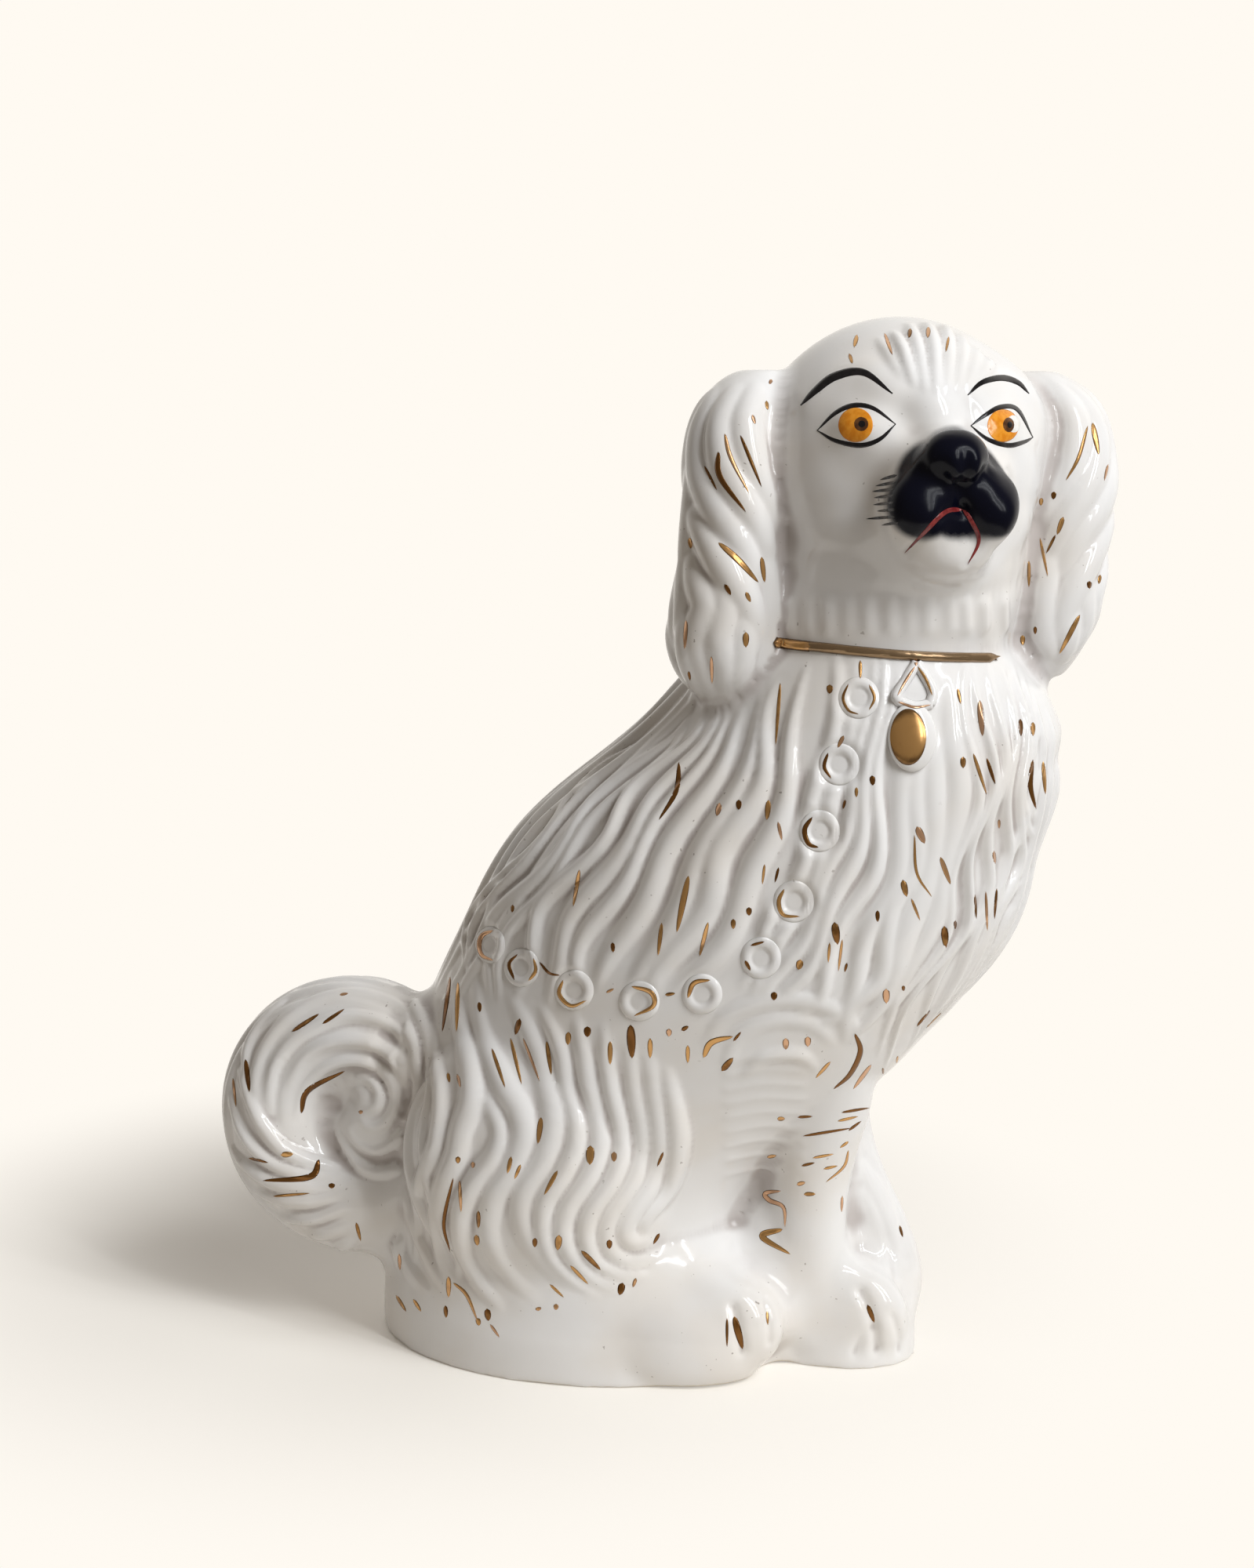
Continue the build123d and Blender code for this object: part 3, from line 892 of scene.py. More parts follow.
muzzle_spots = (
    ((1219, 588), (45, 44)),
    ((1178, 641), (49, 48)),
    ((1258, 648), (46, 46)),
    ((1220, 640), (50, 48)),
    ((1190, 612), (48, 50)),
    ((1244, 614), (44, 44)),
)
muzzle_soft = 8
muzzle_back = 36 * mm
muzzle_middle = -1.5 * mm
cheek_span = (-2 * mm, 9 * mm)
pooling_and_shade_depth = 0.42 * mm
foot_wiped = 1.6 * mm
points = skin_points()
normals = skin_normals()
face_points = on_face(points)


def muzzle_paint(places):
    """How black the muzzle is at places, as seen from the eye point."""
    offset = places - np.array(eye_point)
    depth = offset @ np.array(view_ahead)
    seen_x = photo_middle[0] + focal_pixels * (offset @ np.array(view_right)) / depth
    seen_y = photo_middle[1] - focal_pixels * (offset @ np.array(view_up)) / depth
    black = np.zeros(skin_count)
    for (x, y), (wide, tall) in muzzle_spots:
        ring = np.hypot((seen_x - x) / wide, (seen_y - y) / tall)
        black = np.maximum(black, np.clip((1 - ring) * min(wide, tall) / muzzle_soft + 0.5, 0, 1))
    return black


across_face = points - 2 * (face_points[:, :1] - muzzle_middle) * np.array(face_right)
far_cheek = 1 - fading(face_points[:, 0], *cheek_span)
muzzle = muzzle_paint(points) * (1 - far_cheek) + muzzle_paint(across_face) * far_cheek
muzzle *= on_head & (face_points[:, 1] > muzzle_back)
muzzle = brushed(muzzle, 1)[:, 0]
# How hollow the skin is at each point: the mask for the grey of pooled glaze and painted shade in grooves
# and creases.
hollow = np.sum((brushed(points, 7) - points) * normals, axis=1)
pooling_and_shade = np.clip(brushed(hollow, 1)[:, 0] / pooling_and_shade_depth, 0, 1)
bare = ((points[:, 2] < foot_wiped) & (normals[:, 2] < -0.6)).astype(float)
for name, kind, values in (
    ("pooling_and_shade", "FLOAT", pooling_and_shade),
    ("muzzle", "FLOAT", muzzle),
    ("bare", "FLOAT", brushed(bare, 1)[:, 0]),
    ("number", "INT", np.arange(skin_count)),
):
    skin.attributes.new(name, kind, "POINT").data.foreach_set("value", values)

# The clay pieces
# Each clay piece is the part of the skin that its mould or hand gave, with a wall behind it.
# The base slab is wiped flat underneath and has a round vent for the kiln. The hidden inside of
# each wall has fewer faces than the outside.
wall = 2.4 * mm
wall_share = 0.6
vent_radius = 5 * mm
corner_count = 4
face_corners = np.empty(len(skin.polygons) * corner_count, dtype=np.int64)
skin.polygons.foreach_get("vertices", face_corners)
face_corners = face_corners.reshape(-1, corner_count)
face_owner = np.median(skin_owner[face_corners], axis=1).astype(int)
final_tree = mesh_tree(skin)
clay_slots = {"base_slab": "bare_clay"}
skin.polygons.foreach_set("use_smooth", np.ones(len(skin.polygons), dtype=bool))


def set_out(name, mesh, finish, slot, *replaced):
    """A finished piece in the scene: its finish, its body and the nodes it stands for; slot is not used."""
    mesh.materials.clear()
    mesh.materials.append(finish)
    piece = bpy.data.objects.new(name, mesh)
    bpy.context.scene.collection.objects.link(piece)
    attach(piece, "root")
    if replaced:
        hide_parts(*replaced)
    return piece


for clay_index, clay_name in enumerate(clay_names):
    outer = bmesh.new()
    outer.from_mesh(skin)
    others = [face for face, owner in zip(outer.faces, face_owner) if owner != clay_index]
    bmesh.ops.delete(outer, geom=others, context="FACES")
    if clay_name == "base_slab":
        vent = Vector(vent_place).to_2d()
        low = [face for face in outer.faces if face.normal.z < -0.9]
        inside = [face for face in low if (face.calc_center_median().to_2d() - vent).length < vent_radius]
        bmesh.ops.delete(outer, geom=inside, context="FACES")
        for vertex in outer.verts:
            offset = vertex.co.to_2d() - vent
            if vertex.is_boundary and offset.length < 2 * vent_radius and vertex.co.z < foot_wiped:
                offset *= vent_radius / offset.length
                vertex.co.xy = vent + offset
    outer_count = len(outer.verts)
    solid = settled(outer, clay_name + "_clay", [
        ("SOLIDIFY", {"thickness": wall, "offset": -1, "shell_vertex_group": inner_group}),
        ("DECIMATE", {"ratio": wall_share, "vertex_group": inner_group}),
    ])
    kept = np.empty(len(solid.vertices), dtype=np.int64)
    solid.attributes["number"].data.foreach_get("value", kept)
    piece_normals = np.empty(len(kept) * 3)
    solid.vertex_normals.foreach_get("vector", piece_normals)
    piece_normals = piece_normals.reshape(-1, 3)
    piece_normals[:outer_count] = normals[kept[:outer_count]]
    solid.normals_split_custom_set_from_vertices([tuple(normal) for normal in piece_normals])
    set_out(clay_name + "_clay", solid, white_glaze, clay_slots.get(clay_name, "white_glaze"), clay_name)

# Chain rings
# Ten small rings of clay, stuck on with slip in a line from the collar over the flank.
# The glaze has run over them, so they are low and soft.
stroke_cell = 0.8 * mm
dab_limit = 3 * mm
paint_lift = 0.09 * mm
paint_depth = 0.25 * mm
paint_gap = 0.03 * mm
paint_weld = 0.01 * mm
ring_edge = 6
ring_lift = 0.9 * mm
ring_depth = 1.2 * mm


def flat_top(reach):
    """The height of a spot of paint at a share of its radius."""
    return math.sqrt(max(0, 1 - reach ** 4))


def dished_top(reach):
    """The height of a ring of clay with slip in its middle, at a share of its radius."""
    return max(0, 1 - ((reach - 0.72) / 0.28) ** 2) + 0.3 * fading(reach, 0.3, 0.75)


brush_shapes = {
    "dab": lambda share: (4 * share * (1 - share)) ** 0.5 * (1.1 - 0.35 * share),
    "line": lambda share: min(1, share / 0.15) ** 0.5 * min(1, (1 - share) / 0.45) ** 0.6,
    "even": lambda share: 1,
    "bar": lambda share: min(1, share / 0.02, (1 - share) / 0.03),
    "round": lambda share: math.sqrt(max(0, 1 - (2 * share - 1) ** 2)),
    "arch": lambda share: math.sin(math.pi * min(max(share, 0.02), 0.98)) ** 0.6,
}


class Brush:
    """Brush strokes of one colour, or thin rolls of clay, laid on a surface as solids."""

    def __init__(self, surface):
        self.surface = surface
        self.made = bmesh.new()
        self.across = self.made.verts.layers.float.new("across")
        self.tone = self.made.verts.layers.float.new("tone")

    def stroke(
        self, path, width, shape="dab", lift=paint_lift, cells=4, tone=0.5, far=False, top=flat_top
    ):
        """One stroke along photo points; far lays its mirror image on the far side."""
        length = sum(math.dist(a, b) for a, b in zip(path, path[1:]))
        count = 40 if shape == "round" else int(min(max(6, length * pixel_size / stroke_cell), 90))
        grid = bmesh.ops.create_grid(self.made, x_segments=count, y_segments=cells, size=0.5)["verts"]
        start = eye_point * Vector((1, -1, 1)) if far else eye_point
        if shape == "dab":
            width *= self.squeeze(along(path, 0.5), width)
        outward = []
        for vertex in grid:
            share = vertex.co.x + 0.5
            if shape == "round":
                share = (1 - math.cos(math.pi * share)) / 2
            side = 2 * vertex.co.y
            pixel = along(path, share)
            ahead = along(path, min(share + 0.01, 1)) - along(path, max(share - 0.01, 0))
            ahead /= max(np.linalg.norm(ahead), 1e-6)
            half = width / 2 * brush_shapes[shape](share)
            pixel = pixel + np.array((-ahead[1], ahead[0])) * half * side
            line = sight(pixel)
            if far:
                line.y = -line.y
            hit, normal, _, _ = self.surface.ray_cast(start, line)
            if hit is None:
                bmesh.ops.delete(self.made, geom=grid, context="VERTS")
                return
            edge = side ** 2
            if shape == "round":
                edge = (2 * share - 1) ** 2
                edge = edge + side ** 2 * (1 - edge)
            height = top(math.sqrt(edge)) if shape == "round" else math.sqrt(max(0, 1 - edge))
            vertex.co = hit + normal * (paint_gap + lift * height)
            vertex[self.across] = abs(side)
            vertex[self.tone] = tone
            outward.append(normal)
        faces = list({face for vertex in grid for face in vertex.link_faces})
        longest = max(edge.calc_length() for face in faces for edge in face.edges)
        if longest > 5 * stroke_cell + 2 * length * pixel_size / count:
            bmesh.ops.delete(self.made, geom=grid, context="VERTS")
            return
        for face in faces:
            face.smooth = True
            face.normal_update()
        if sum(face.normal.dot(outward[0]) for face in faces) < 0:
            bmesh.ops.reverse_faces(self.made, faces=faces)

    def squeeze(self, pixel, width):
        """How much narrower a dab is laid where the surface turns away from the eye point."""
        ends = [
            self.surface.ray_cast(eye_point, sight(pixel + np.array(step) * width / 2))[0]
            for step in ((1, 0), (-1, 0), (0, 1), (0, -1))
        ]
        if None in ends:
            return 1
        widest = max((ends[0] - ends[1]).length, (ends[2] - ends[3]).length)
        return min(1, dab_limit / widest)

    def spot(self, centre, wide, tall, **settings):
        """A round or oval spot of paint."""
        path = ((centre[0] - wide, centre[1]), centre, (centre[0] + wide, centre[1]))
        self.stroke(path, 2 * tall, shape="round", cells=24, **settings)

    def dry(self, name, finish, slot, depth, *replaced):
        """The strokes as one finished piece, closed and sunk a little into the surface."""
        bmesh.ops.remove_doubles(self.made, verts=self.made.verts, dist=paint_weld)
        mesh = settled(self.made, name, [("SOLIDIFY", {"thickness": depth, "offset": -1})])
        return set_out(name, mesh, finish, slot, *replaced)


rings = Brush(final_tree)
for centre, (wide, tall) in zip(chain_places, chain_sizes):
    rings.spot(centre, wide + ring_edge, tall + ring_edge, lift=ring_lift, top=dished_top)
ring_piece = rings.dry("chain_rings", white_glaze, "white_glaze", ring_depth, "chain_links")

# Gilding
# Liquid gold, brushed on over the glaze and fired low. It has worn thin and brown, darker at the
# rim of each stroke.
gilding_rim = colour(70, 45, 22)
gilding_brown = colour(124, 82, 36)
gilding_warm = colour(206, 158, 98)
gilding_copper = colour(212, 168, 132)
gilding_grey = colour(150, 124, 94)
gilding, nodes = finish_of("worn_gilding")
place = Wire.node(nodes, "ShaderNodeTexCoord", output=3)
wear = noise(nodes, place, 420)
tone_wire = painted(nodes, "tone")
warm_wire = stepped(nodes, tone_wire + wear * 0.5, 0.45, 0.8)
gild_colour = mixed(nodes, warm_wire, gilding_brown, gilding_warm)
copper_wire = stepped(nodes, tone_wire + wear * 0.4, 0.85, 1.1)
gild_colour = mixed(nodes, copper_wire, gild_colour, gilding_copper)
rim_wire = stepped(nodes, painted(nodes, "across") + 0.3 * wear, 0.75, 1.1)
gild_colour = mixed(nodes, rim_wire * 0.8, gild_colour, gilding_rim)
gild_colour = mixed(nodes, stepped(nodes, 0 - tone_wire, 0.1, 0.4), gild_colour, gilding_grey)
gild_shader = Wire.node(nodes, "ShaderNodeBsdfPrincipled", None, {
    "Base Color": gild_colour,
    "Metallic": 0.7,
    "Roughness": 0.14 + 0.16 * wear,
})
close_finish(nodes, gild_shader)

# Collar
# A thin strip of clay, rolled and laid round the front of the neck with slip, with tapered ends.
# It is gilded all over, brightest at the end by the near ear, where the gold has worn least.
collar_path = ((986, 819), (1050, 826), (1130, 834), (1200, 838), (1272, 839))
collar_width = 13
collar_lift = 1.3 * mm
collar_depth = 1.5 * mm
bright_path = ((986, 819), (1010, 822), (1036, 825))
bright_width = 14
bright_lift = 1.35 * mm
collar = Brush(final_tree)
collar.stroke(collar_path, collar_width, shape="bar", lift=collar_lift, cells=12, tone=-0.5)
collar.stroke(bright_path, bright_width, shape="bar", lift=bright_lift, cells=12, tone=0.7)
collar.dry("collar_strip", gilding, "gilding", collar_depth, "collar")

# Padlock
# A small relief pressed in its own mould and stuck to the chest with slip: a domed oval under a
# three-cornered shackle that meets the collar. It is glazed white and gilded in the middle.
lock_place = (1163, 940)
lock_size = (7.2 * mm, 10.2 * mm, 3.2 * mm)
lock_gilt = (23, 36)
gilt_place = (1158, 940)
gilt_lift = 0.12 * mm
shackle_width = 8
shackle_lift = 0.9 * mm
shackle_depth = 0.8 * mm
shackle_sides = (
    ((1168, 846), (1156, 866), (1143, 887), (1148, 897)),
    ((1168, 846), (1179, 862), (1189, 883), (1185, 899)),
    ((1145, 894), (1166, 901), (1187, 898)),
)
lock_hit, lock_normal, _, _ = final_tree.ray_cast(eye_point, sight(lock_place))
lock_side = Vector((0, 0, 1)).cross(lock_normal).normalized()
lock_axes = Matrix((lock_side, lock_normal.cross(lock_side), lock_normal)).transposed()
lock_made = bmesh.new()
bmesh.ops.create_uvsphere(
    lock_made, u_segments=48, v_segments=24, radius=1,
    matrix=Matrix.LocRotScale(lock_hit, lock_axes, Vector(lock_size)),
)
for face in lock_made.faces:
    face.smooth = True
shackle = Brush(final_tree)
for side in shackle_sides:
    shackle.stroke(side, shackle_width, shape="even", lift=shackle_lift, cells=6)
bmesh.ops.solidify(shackle.made, geom=list(shackle.made.faces), thickness=-shackle_depth)
shackle_mesh = settled(shackle.made, "shackle", [])
lock_made.from_mesh(shackle_mesh)
bmesh.ops.recalc_face_normals(lock_made, faces=list(lock_made.faces))
lock_mesh = settled(lock_made, "padlock_body", [])
lock_piece = set_out("padlock_body", lock_mesh, white_glaze, "gilding", "padlock")

# Face paint
# Enamel colours brushed on by hand: black brows and lids, amber irises, brown pupils, a red mouth
# and fine black hairs at the edge of the muzzle.
brows = (
    (((1021, 517), (1040, 498), (1065, 480), (1101, 475), (1138, 502)), 11),
    (((1234, 504), (1252, 488), (1277, 482), (1298, 488), (1312, 502)), 8),
)
lids = (
    ((1042, 549), (1065, 527), (1089, 517), (1114, 521), (1142, 541)),
    ((1042, 549), (1065, 562), (1097, 568), (1122, 560), (1142, 541)),
    ((1238, 543), (1257, 529), (1277, 519), (1298, 523), (1317, 558)),
    ((1238, 543), (1259, 560), (1285, 568), (1305, 564), (1317, 558)),
)
lid_width = 6.5
hairs = (
    ((1122, 612), (1144, 606)),
    ((1116, 620), (1142, 615)),
    ((1112, 627), (1140, 624)),
    ((1114, 635), (1140, 632)),
    ((1113, 644), (1140, 641)),
    ((1118, 652), (1142, 650)),
    ((1104, 662), (1142, 659)),
    ((1124, 670), (1146, 666)),
)
hair_width = 4
mouth_paths = (
    ((1228, 650), (1206, 653), (1179, 679), (1153, 706)),
    ((1228, 650), (1238, 664), (1248, 690), (1234, 720)),
)
mouth_width = 6
iris_spots = (((1091, 542), 22, 22, 0.09), ((1279, 543), 20, 21, 0.09))
light_spots = (((1291, 541), 10, 12, 0.12),)
pupil_spots = (((1098, 541), 10, 10, 0.14), ((1286, 542), 8, 10, 0.17))
core_spots = (((1099, 541), 5, 5, 0.2), ((1287, 542), 4, 5, 0.22))


def enamel(name, main, other, shine=0.12):
    """A brushed enamel, a little uneven."""
    material, nodes = finish_of(name)
    place = Wire.node(nodes, "ShaderNodeTexCoord", output=3)
    uneven = stepped(nodes, noise(nodes, place, 500), 0.35, 0.65)
    shader = Wire.node(nodes, "ShaderNodeBsdfPrincipled", None, {
        "Base Color": mixed(nodes, uneven, main, other),
        "Roughness": shine + 0.1 * uneven,
    })
    close_finish(nodes, shader)
    return material


black_lines = Brush(final_tree)
for brow, brow_width in brows:
    black_lines.stroke(brow, brow_width, "arch", cells=6)
for lid in lids:
    black_lines.stroke(lid, lid_width, "arch")
for hair in hairs:
    black_lines.stroke(hair[::-1], hair_width, "line")
black_enamel = enamel("black_enamel", colour(14, 13, 16), colour(30, 26, 28))
black_lines.dry("black_lines", black_enamel, "white_glaze", paint_depth)
amber_enamel = enamel("amber_enamel", colour(214, 128, 22), colour(228, 150, 44))
white_enamel = enamel("white_enamel", colour(232, 230, 226), colour(222, 216, 206))
brown_enamel = enamel("brown_enamel", colour(70, 42, 22), colour(104, 66, 34))
for name, spots, spot_enamel in (
    ("irises", iris_spots, amber_enamel),
    ("eye_lights", light_spots, white_enamel),
    ("pupils", pupil_spots, brown_enamel),
    ("pupil_cores", core_spots, black_enamel),
):
    eye_paint = Brush(final_tree)
    for centre, wide, tall, lift in spots:
        eye_paint.spot(centre, wide, tall, lift=lift * mm)
    eye_paint.dry(name, spot_enamel, "white_glaze", paint_depth)
mouth = Brush(final_tree)
for mouth_path in mouth_paths:
    mouth.stroke(mouth_path, mouth_width, "line")
red_enamel = enamel("red_enamel", colour(104, 30, 32), colour(138, 52, 50))
mouth.dry("mouth_lines", red_enamel, "white_glaze", paint_depth)

# Gold strokes
# The gilder's quick dabs along the locks, in pairs and commas, with gilt crescents on the rings
# and a gilt oval on the lock. The far side has fewer.
chest_dabs = (
    (995, 871, 989, 950, 4), (1058, 873, 1058, 885, 8), (866, 972, 862, 1009, 840, 1046, 6),
    (918, 1024, 914, 1041, 7), (942, 1020, 942, 1033, 7), (980, 1020, 978, 1046, 7),
    (992, 1048, 997, 1072, 4), (993, 1106, 988, 1126, 3), (975, 1102, 972, 1128, 3),
    (878, 1117, 863, 1189, 8), (955, 1157, 955, 1168, 7), (935, 1172, 935, 1185, 6),
    (903, 1176, 892, 1220, 5), (844, 1177, 839, 1219, 5), (739, 1109, 731, 1156, 9),
    (781, 1202, 782, 1215, 5), (654, 1154, 653, 1164, 4), (1112, 989, 1113, 1002, 7),
    (1092, 1004, 1092, 1017, 4), (1169, 1054, 1179, 1076, 9), (1166, 1065, 1169, 1113, 1188, 1144, 3),
    (1199, 1093, 1212, 1128, 6), (1151, 1122, 1156, 1144, 8), (1162, 1146, 1173, 1174, 3),
    (1119, 1161, 1119, 1176, 5), (1064, 1176, 1068, 1205, 10), (1058, 1202, 1056, 1228, 3),
    (1074, 1198, 1069, 1239, 3), (1021, 1224, 1018, 1237, 9), (1080, 1228, 1077, 1240, 3),
    (1204, 1181, 1206, 1209, 9), (1218, 1174, 1218, 1185, 5), (1243, 1141, 1245, 1172, 3),
    (1257, 1137, 1259, 1187, 3), (1271, 1133, 1268, 1172, 3), (1267, 1085, 1269, 1102, 8),
    (1274, 1045, 1274, 1057, 3), (1314, 1091, 1314, 1115, 3), (1228, 965, 1228, 980, 7),
    (1241, 961, 1258, 1013, 4), (1258, 967, 1269, 1000, 4), (1221, 878, 1225, 898, 4),
    (1249, 893, 1253, 939, 8), (1301, 917, 1302, 939, 7), (1317, 921, 1317, 939, 6),
    (1317, 969, 1314, 1002, 1321, 1032, 6), (1330, 971, 1333, 1013, 5), (1130, 1261, 1130, 1280, 9),
    (1152, 1257, 1152, 1264, 4), (987, 1265, 987, 1276, 8),
)
haunch_dabs = (
    (574, 1246, 564, 1316, 5), (584, 1253, 582, 1316, 5), (611, 1278, 612, 1291, 5),
    (663, 1299, 657, 1320, 10), (651, 1324, 665, 1383, 4), (667, 1324, 688, 1379, 3),
    (627, 1337, 644, 1387, 4), (697, 1328, 703, 1371, 5), (725, 1316, 724, 1333, 7),
    (749, 1309, 749, 1323, 9), (778, 1328, 778, 1358, 6), (804, 1307, 806, 1350, 12),
    (829, 1324, 829, 1350, 6), (853, 1312, 853, 1322, 7), (869, 1314, 878, 1309, 5),
    (877, 1333, 877, 1356, 5), (897, 1349, 907, 1330, 935, 1322, 8), (935, 1328, 945, 1316, 3),
    (920, 1366, 935, 1349, 8), (1002, 1324, 1002, 1339, 8), (1030, 1322, 1030, 1335, 8),
    (1090, 1318, 1097, 1341, 1084, 1370, 1063, 1389, 11), (1059, 1354, 1040, 1375, 4),
    (1111, 1358, 1088, 1389, 5), (1126, 1362, 1126, 1370, 6), (1145, 1347, 1143, 1356, 4),
    (1169, 1309, 1186, 1289, 3), (1181, 1311, 1200, 1292, 3), (690, 1425, 686, 1459, 7),
    (753, 1461, 752, 1486, 11), (783, 1469, 783, 1482, 7), (846, 1469, 838, 1488, 3),
    (584, 1475, 584, 1484, 6), (603, 1482, 603, 1490, 5), (652, 1475, 647, 1497, 5),
    (664, 1485, 656, 1504, 4), (571, 1368, 573, 1381, 4), (583, 1370, 587, 1387, 4),
    (711, 1493, 694, 1524, 5), (578, 1502, 566, 1559, 574, 1597, 4), (586, 1506, 588, 1546, 4),
    (610, 1544, 610, 1567, 5), (607, 1575, 609, 1589, 9), (682, 1579, 682, 1591, 6),
    (713, 1575, 711, 1595, 9), (741, 1595, 766, 1620, 6), (777, 1581, 777, 1593, 7),
    (727, 1614, 750, 1638, 4), (794, 1636, 790, 1652, 9), (811, 1630, 807, 1642, 4),
    (841, 1573, 833, 1587, 4), (686, 1667, 687, 1672, 7), (709, 1663, 709, 1671, 6),
    (701, 1638, 719, 1655, 3), (572, 1628, 572, 1655, 6), (568, 1665, 569, 1681, 5),
    (578, 1636, 595, 1652, 609, 1685, 4), (609, 1681, 611, 1691, 6), (621, 1669, 623, 1685, 8),
    (625, 1689, 637, 1706, 3), (466, 1530, 472, 1559, 488, 1616, 6), (454, 1559, 460, 1583, 4),
    (509, 1599, 510, 1620, 4), (505, 1652, 518, 1673, 4), (527, 1657, 537, 1673, 4),
)
tail_dabs = (
    (313, 1351, 318, 1393, 6), (297, 1375, 301, 1412, 3), (372, 1316, 407, 1293, 5),
    (411, 1306, 439, 1287, 4), (433, 1269, 444, 1267, 3), (384, 1420, 393, 1391, 440, 1366, 9),
    (460, 1416, 460, 1421, 5), (527, 1420, 521, 1457, 486, 1485, 8), (358, 1473, 374, 1472, 7),
    (407, 1479, 395, 1501, 335, 1506, 8), (317, 1477, 342, 1483, 3), (423, 1509, 423, 1516, 8),
    (348, 1526, 395, 1522, 3), (346, 1555, 361, 1559, 6), (431, 1581, 395, 1589, 9),
    (423, 1597, 440, 1600, 3),
)
leg_dabs = (
    (1073, 1419, 1109, 1413, 3), (1068, 1430, 1094, 1424, 3), (1082, 1442, 1098, 1430, 3),
    (1024, 1449, 1085, 1439, 3), (1082, 1456, 1071, 1464, 3), (1036, 1477, 1063, 1472, 3),
    (1022, 1487, 1039, 1483, 3), (1050, 1491, 1068, 1487, 3), (1082, 1467, 1076, 1488, 1053, 1508, 3),
    (1016, 1511, 1027, 1508, 5), (1025, 1523, 1040, 1523, 5), (1074, 1525, 1073, 1546, 3),
    (1017, 1425, 1036, 1424, 3), (991, 1427, 1001, 1427, 5), (978, 1476, 990, 1474, 4),
    (996, 1519, 976, 1522, 981, 1531, 999, 1540, 1001, 1565, 6), (998, 1568, 972, 1577, 1008, 1600, 8),
    (936, 1679, 947, 1721, 9), (927, 1681, 927, 1718, 3), (978, 1672, 979, 1690, 3),
    (1106, 1664, 1115, 1687, 6), (1152, 1519, 1165, 1580, 3), (1147, 1563, 1151, 1578, 3),
)
head_dabs = (
    (924, 553, 932, 584, 955, 629, 5), (944, 555, 971, 621, 4), (916, 576, 918, 608, 951, 653, 7),
    (898, 594, 914, 625, 3), (916, 692, 942, 715, 967, 743, 8), (971, 710, 975, 743, 6),
    (879, 686, 881, 700, 5), (924, 745, 932, 759, 5), (951, 755, 957, 768, 5), (875, 791, 873, 828, 5),
    (951, 806, 951, 826, 8), (907, 837, 908, 872, 4), (878, 856, 880, 868, 3), (984, 484, 981, 490, 4),
    (959, 529, 963, 541, 4), (977, 511, 979, 523, 4), (1393, 539, 1401, 580, 7),
    (1387, 543, 1375, 584, 1359, 613, 4), (1413, 592, 1408, 613, 5), (1344, 627, 1343, 637, 6),
    (1328, 635, 1327, 645, 5), (1356, 659, 1348, 682, 6), (1346, 682, 1334, 706, 3),
    (1326, 686, 1336, 735, 3), (1312, 715, 1312, 749, 4), (1389, 741, 1389, 751, 6),
    (1403, 733, 1401, 745, 4), (1377, 784, 1351, 834, 6), (1378, 826, 1366, 850, 3),
    (1304, 810, 1304, 823, 6), (1320, 799, 1320, 809, 4), (1093, 427, 1089, 443, 6),
    (1083, 451, 1087, 464, 4), (1128, 425, 1138, 453, 4), (1161, 419, 1159, 431, 5),
    (1184, 417, 1183, 431, 6), (1210, 429, 1206, 449, 3), (1283, 455, 1288, 462, 4),
)
ring_dabs = (
    (629, 1187, 615, 1193, 611, 1206, 615, 1219, 629, 1225, 6), (656, 1250, 649, 1230, 660, 1217, 4),
    (674, 1251, 683, 1238, 680, 1222, 4), (718, 1250, 713, 1268, 728, 1283, 748, 1276, 5),
    (805, 1258, 830, 1266, 833, 1283, 808, 1296, 6), (877, 1273, 885, 1254, 906, 1250, 6),
    (957, 1206, 975, 1201, 3), (950, 1225, 957, 1238, 4), (1000, 1134, 993, 1150, 999, 1167, 1020, 1169, 5),
    (1036, 1042, 1026, 1058, 1031, 1076, 1044, 1081, 6), (1056, 960, 1051, 978, 1060, 993, 4),
    (1082, 872, 1075, 890, 1082, 906, 1095, 911, 3), (1108, 873, 1115, 890, 1108, 906, 3),
    (1097, 842, 1097, 866, 4), (688, 1227, 700, 1241, 714, 1244, 3), (773, 1266, 783, 1261, 3),
    (848, 1269, 861, 1267, 4), (1076, 938, 1068, 954, 5), (1078, 1020, 1075, 1032, 3),
)
lock_dabs = (
    (1167, 850, 1155, 868, 1144, 888, 3), (1170, 850, 1181, 867, 1189, 887, 3),
    (1145, 895, 1166, 902, 1187, 899, 3), (1168, 835, 1168, 850, 5),
)
gild_seed = random.Random(9)
far_share = 0.4
far_edge = 590


def dab_path(dab):
    """A dab's numbers as its photo points."""
    return [dab[place:place + 2] for place in range(0, len(dab) - 1, 2)]


def joined_tree(*meshes):
    """A search tree of several meshes at once."""
    corners = []
    faces = []
    for mesh in meshes:
        first = len(corners)
        corners += [vertex.co.copy() for vertex in mesh.vertices]
        faces += [[first + corner for corner in face.vertices] for face in mesh.polygons]
    return BVHTree.FromPolygons(corners, faces)


dressed_tree = joined_tree(skin, ring_piece.data, lock_piece.data)
gold = Brush(dressed_tree)
for dab in chest_dabs + haunch_dabs + tail_dabs + leg_dabs + head_dabs + ring_dabs + lock_dabs:
    gold.stroke(dab_path(dab), dab[-1] + 1, tone=gild_seed.uniform(0, 1))
for dab in chest_dabs + haunch_dabs + tail_dabs + leg_dabs:
    if dab[0] > far_edge and gild_seed.random() < far_share:
        gold.stroke(dab_path(dab), dab[-1] + 1, tone=gild_seed.uniform(0, 1), far=True)
gold.spot(gilt_place, *lock_gilt, tone=0.6, lift=gilt_lift)
gold.dry("gold_strokes", gilding, "gilding", paint_depth)

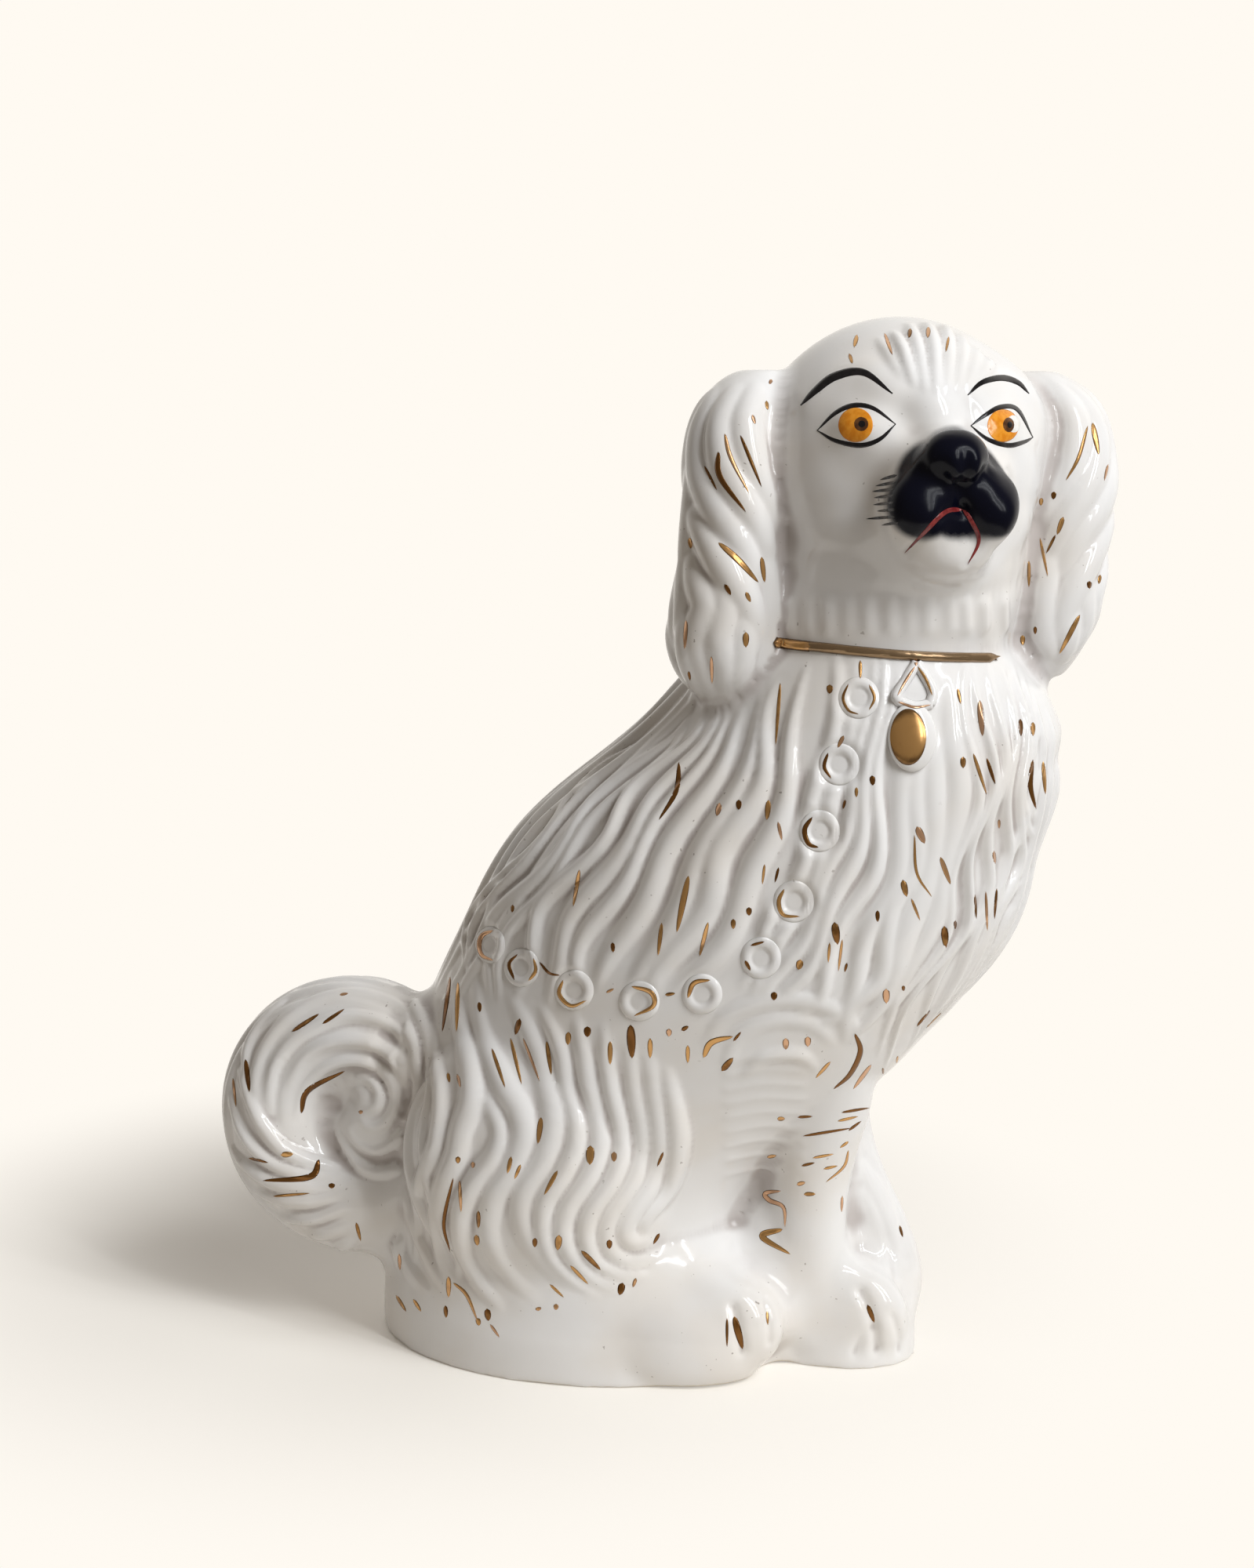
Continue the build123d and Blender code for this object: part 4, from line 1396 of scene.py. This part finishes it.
# Floor and light
# A plain cream table and wall. Soft daylight comes from high on the right, two tall window panes
# there give the glaze its glints, and a weak lamp behind keeps the far side from going dark.
cream = colour(255, 250, 242)
table_white = colour(242, 237, 229)
table_glow = 0.06
table_radius = 0.36
shade_middle = view_right * -0.06 - towards_viewer * 0.08
shade_reach = (0.08, 0.26)
room_warm = colour(255, 242, 226)
room_strength = 0.19
lamp_colour = (0.94, 0.97, 1)
window_aim = Vector((0.02, 0, 0.17))
lamps = (
    ("sky", (1.07, -0.52, 1.24), 0.7, 0.7, 15.5, False),
    ("left_pane", (1.1, -0.84, 0.9), 0.045, 1.1, 5.2, True),
    ("right_pane", (1.25, -0.58, 0.9), 0.045, 1.1, 5.2, True),
    ("back_lamp", (-0.85, 1.15, 0.5), 1.2, 1.2, 9, False),
)


def ray_kinds(nodes):
    """Whether a ray comes from the camera, from a mirror-like surface or through a clear one."""
    return [Wire.node(nodes, "ShaderNodeLightPath", output=output) for output in (0, 3, 6)]


floor_finish, nodes = finish_of("cream_floor")
place = Wire.node(nodes, "ShaderNodeTexCoord", output=3)
reach = Wire.node(nodes, "ShaderNodeVectorMath", {"operation": "DISTANCE"},
                  {0: place, 1: shade_middle}, output=1)
seen, mirrored, through = ray_kinds(nodes)
shown = seen + mirrored + through
floor_colour = mixed(nodes, seen, table_white, cream)
floor_shade = Wire.node(nodes, "ShaderNodeBsdfDiffuse", None, {"Color": floor_colour})
floor_glow = Wire.node(nodes, "ShaderNodeEmission", None, {"Color": cream, "Strength": 1})
floor_share = (table_glow + (1 - table_glow) * stepped(nodes, reach, *shade_reach)) * shown
floor_mix = Wire.node(nodes, "ShaderNodeMixShader", None,
                      {0: floor_share, 1: floor_shade, 2: floor_glow})
close_finish(nodes, floor_mix)
floor_made = bmesh.new()
bmesh.ops.create_circle(floor_made, cap_ends=True, segments=96, radius=table_radius)
floor_mesh = bpy.data.meshes.new("floor")
floor_made.to_mesh(floor_mesh)
floor_made.free()
floor_mesh.materials.append(floor_finish)
floor = bpy.data.objects.new("floor", floor_mesh)
bpy.context.scene.collection.objects.link(floor)

world = bpy.data.worlds.new("room")
world.use_nodes = True
nodes = world.node_tree.nodes
nodes.clear()
facing = Wire.node(nodes, "ShaderNodeTexCoord")
wall_side = Wire.node(nodes, "ShaderNodeVectorMath", {"operation": "DOT_PRODUCT"},
                      {0: facing, 1: -towards_viewer}, output=1)
seen, mirrored, through = ray_kinds(nodes)
shown = seen.maths("MAXIMUM", seen, (mirrored + through) * stepped(nodes, wall_side, 0.0, 0.5))
wall_pale = Wire.node(nodes, "ShaderNodeBackground", None, {"Color": cream, "Strength": 1})
room_sockets = {"Color": room_warm, "Strength": room_strength}
room_dim = Wire.node(nodes, "ShaderNodeBackground", None, room_sockets)
room_mix = Wire.node(nodes, "ShaderNodeMixShader", None, {0: shown, 1: room_dim, 2: wall_pale})
room_output = nodes.new("ShaderNodeOutputWorld")
nodes.id_data.links.new(room_mix.socket, room_output.inputs["Surface"])
bpy.context.scene.world = world

for name, lamp_place, wide, tall, power, glints in lamps:
    lamp = bpy.data.lights.new(name, "AREA")
    lamp.shape = "RECTANGLE"
    lamp.size = wide
    lamp.size_y = tall
    lamp.energy = power
    lamp.color = lamp_colour
    lamp_object = bpy.data.objects.new(name, lamp)
    lamp_object.location = lamp_place
    lamp_aim = window_aim - Vector(lamp_place)
    lamp_object.rotation_euler = lamp_aim.to_track_quat("-Z", "Y").to_euler()
    lamp_object.visible_glossy = glints
    bpy.context.scene.collection.objects.link(lamp_object)
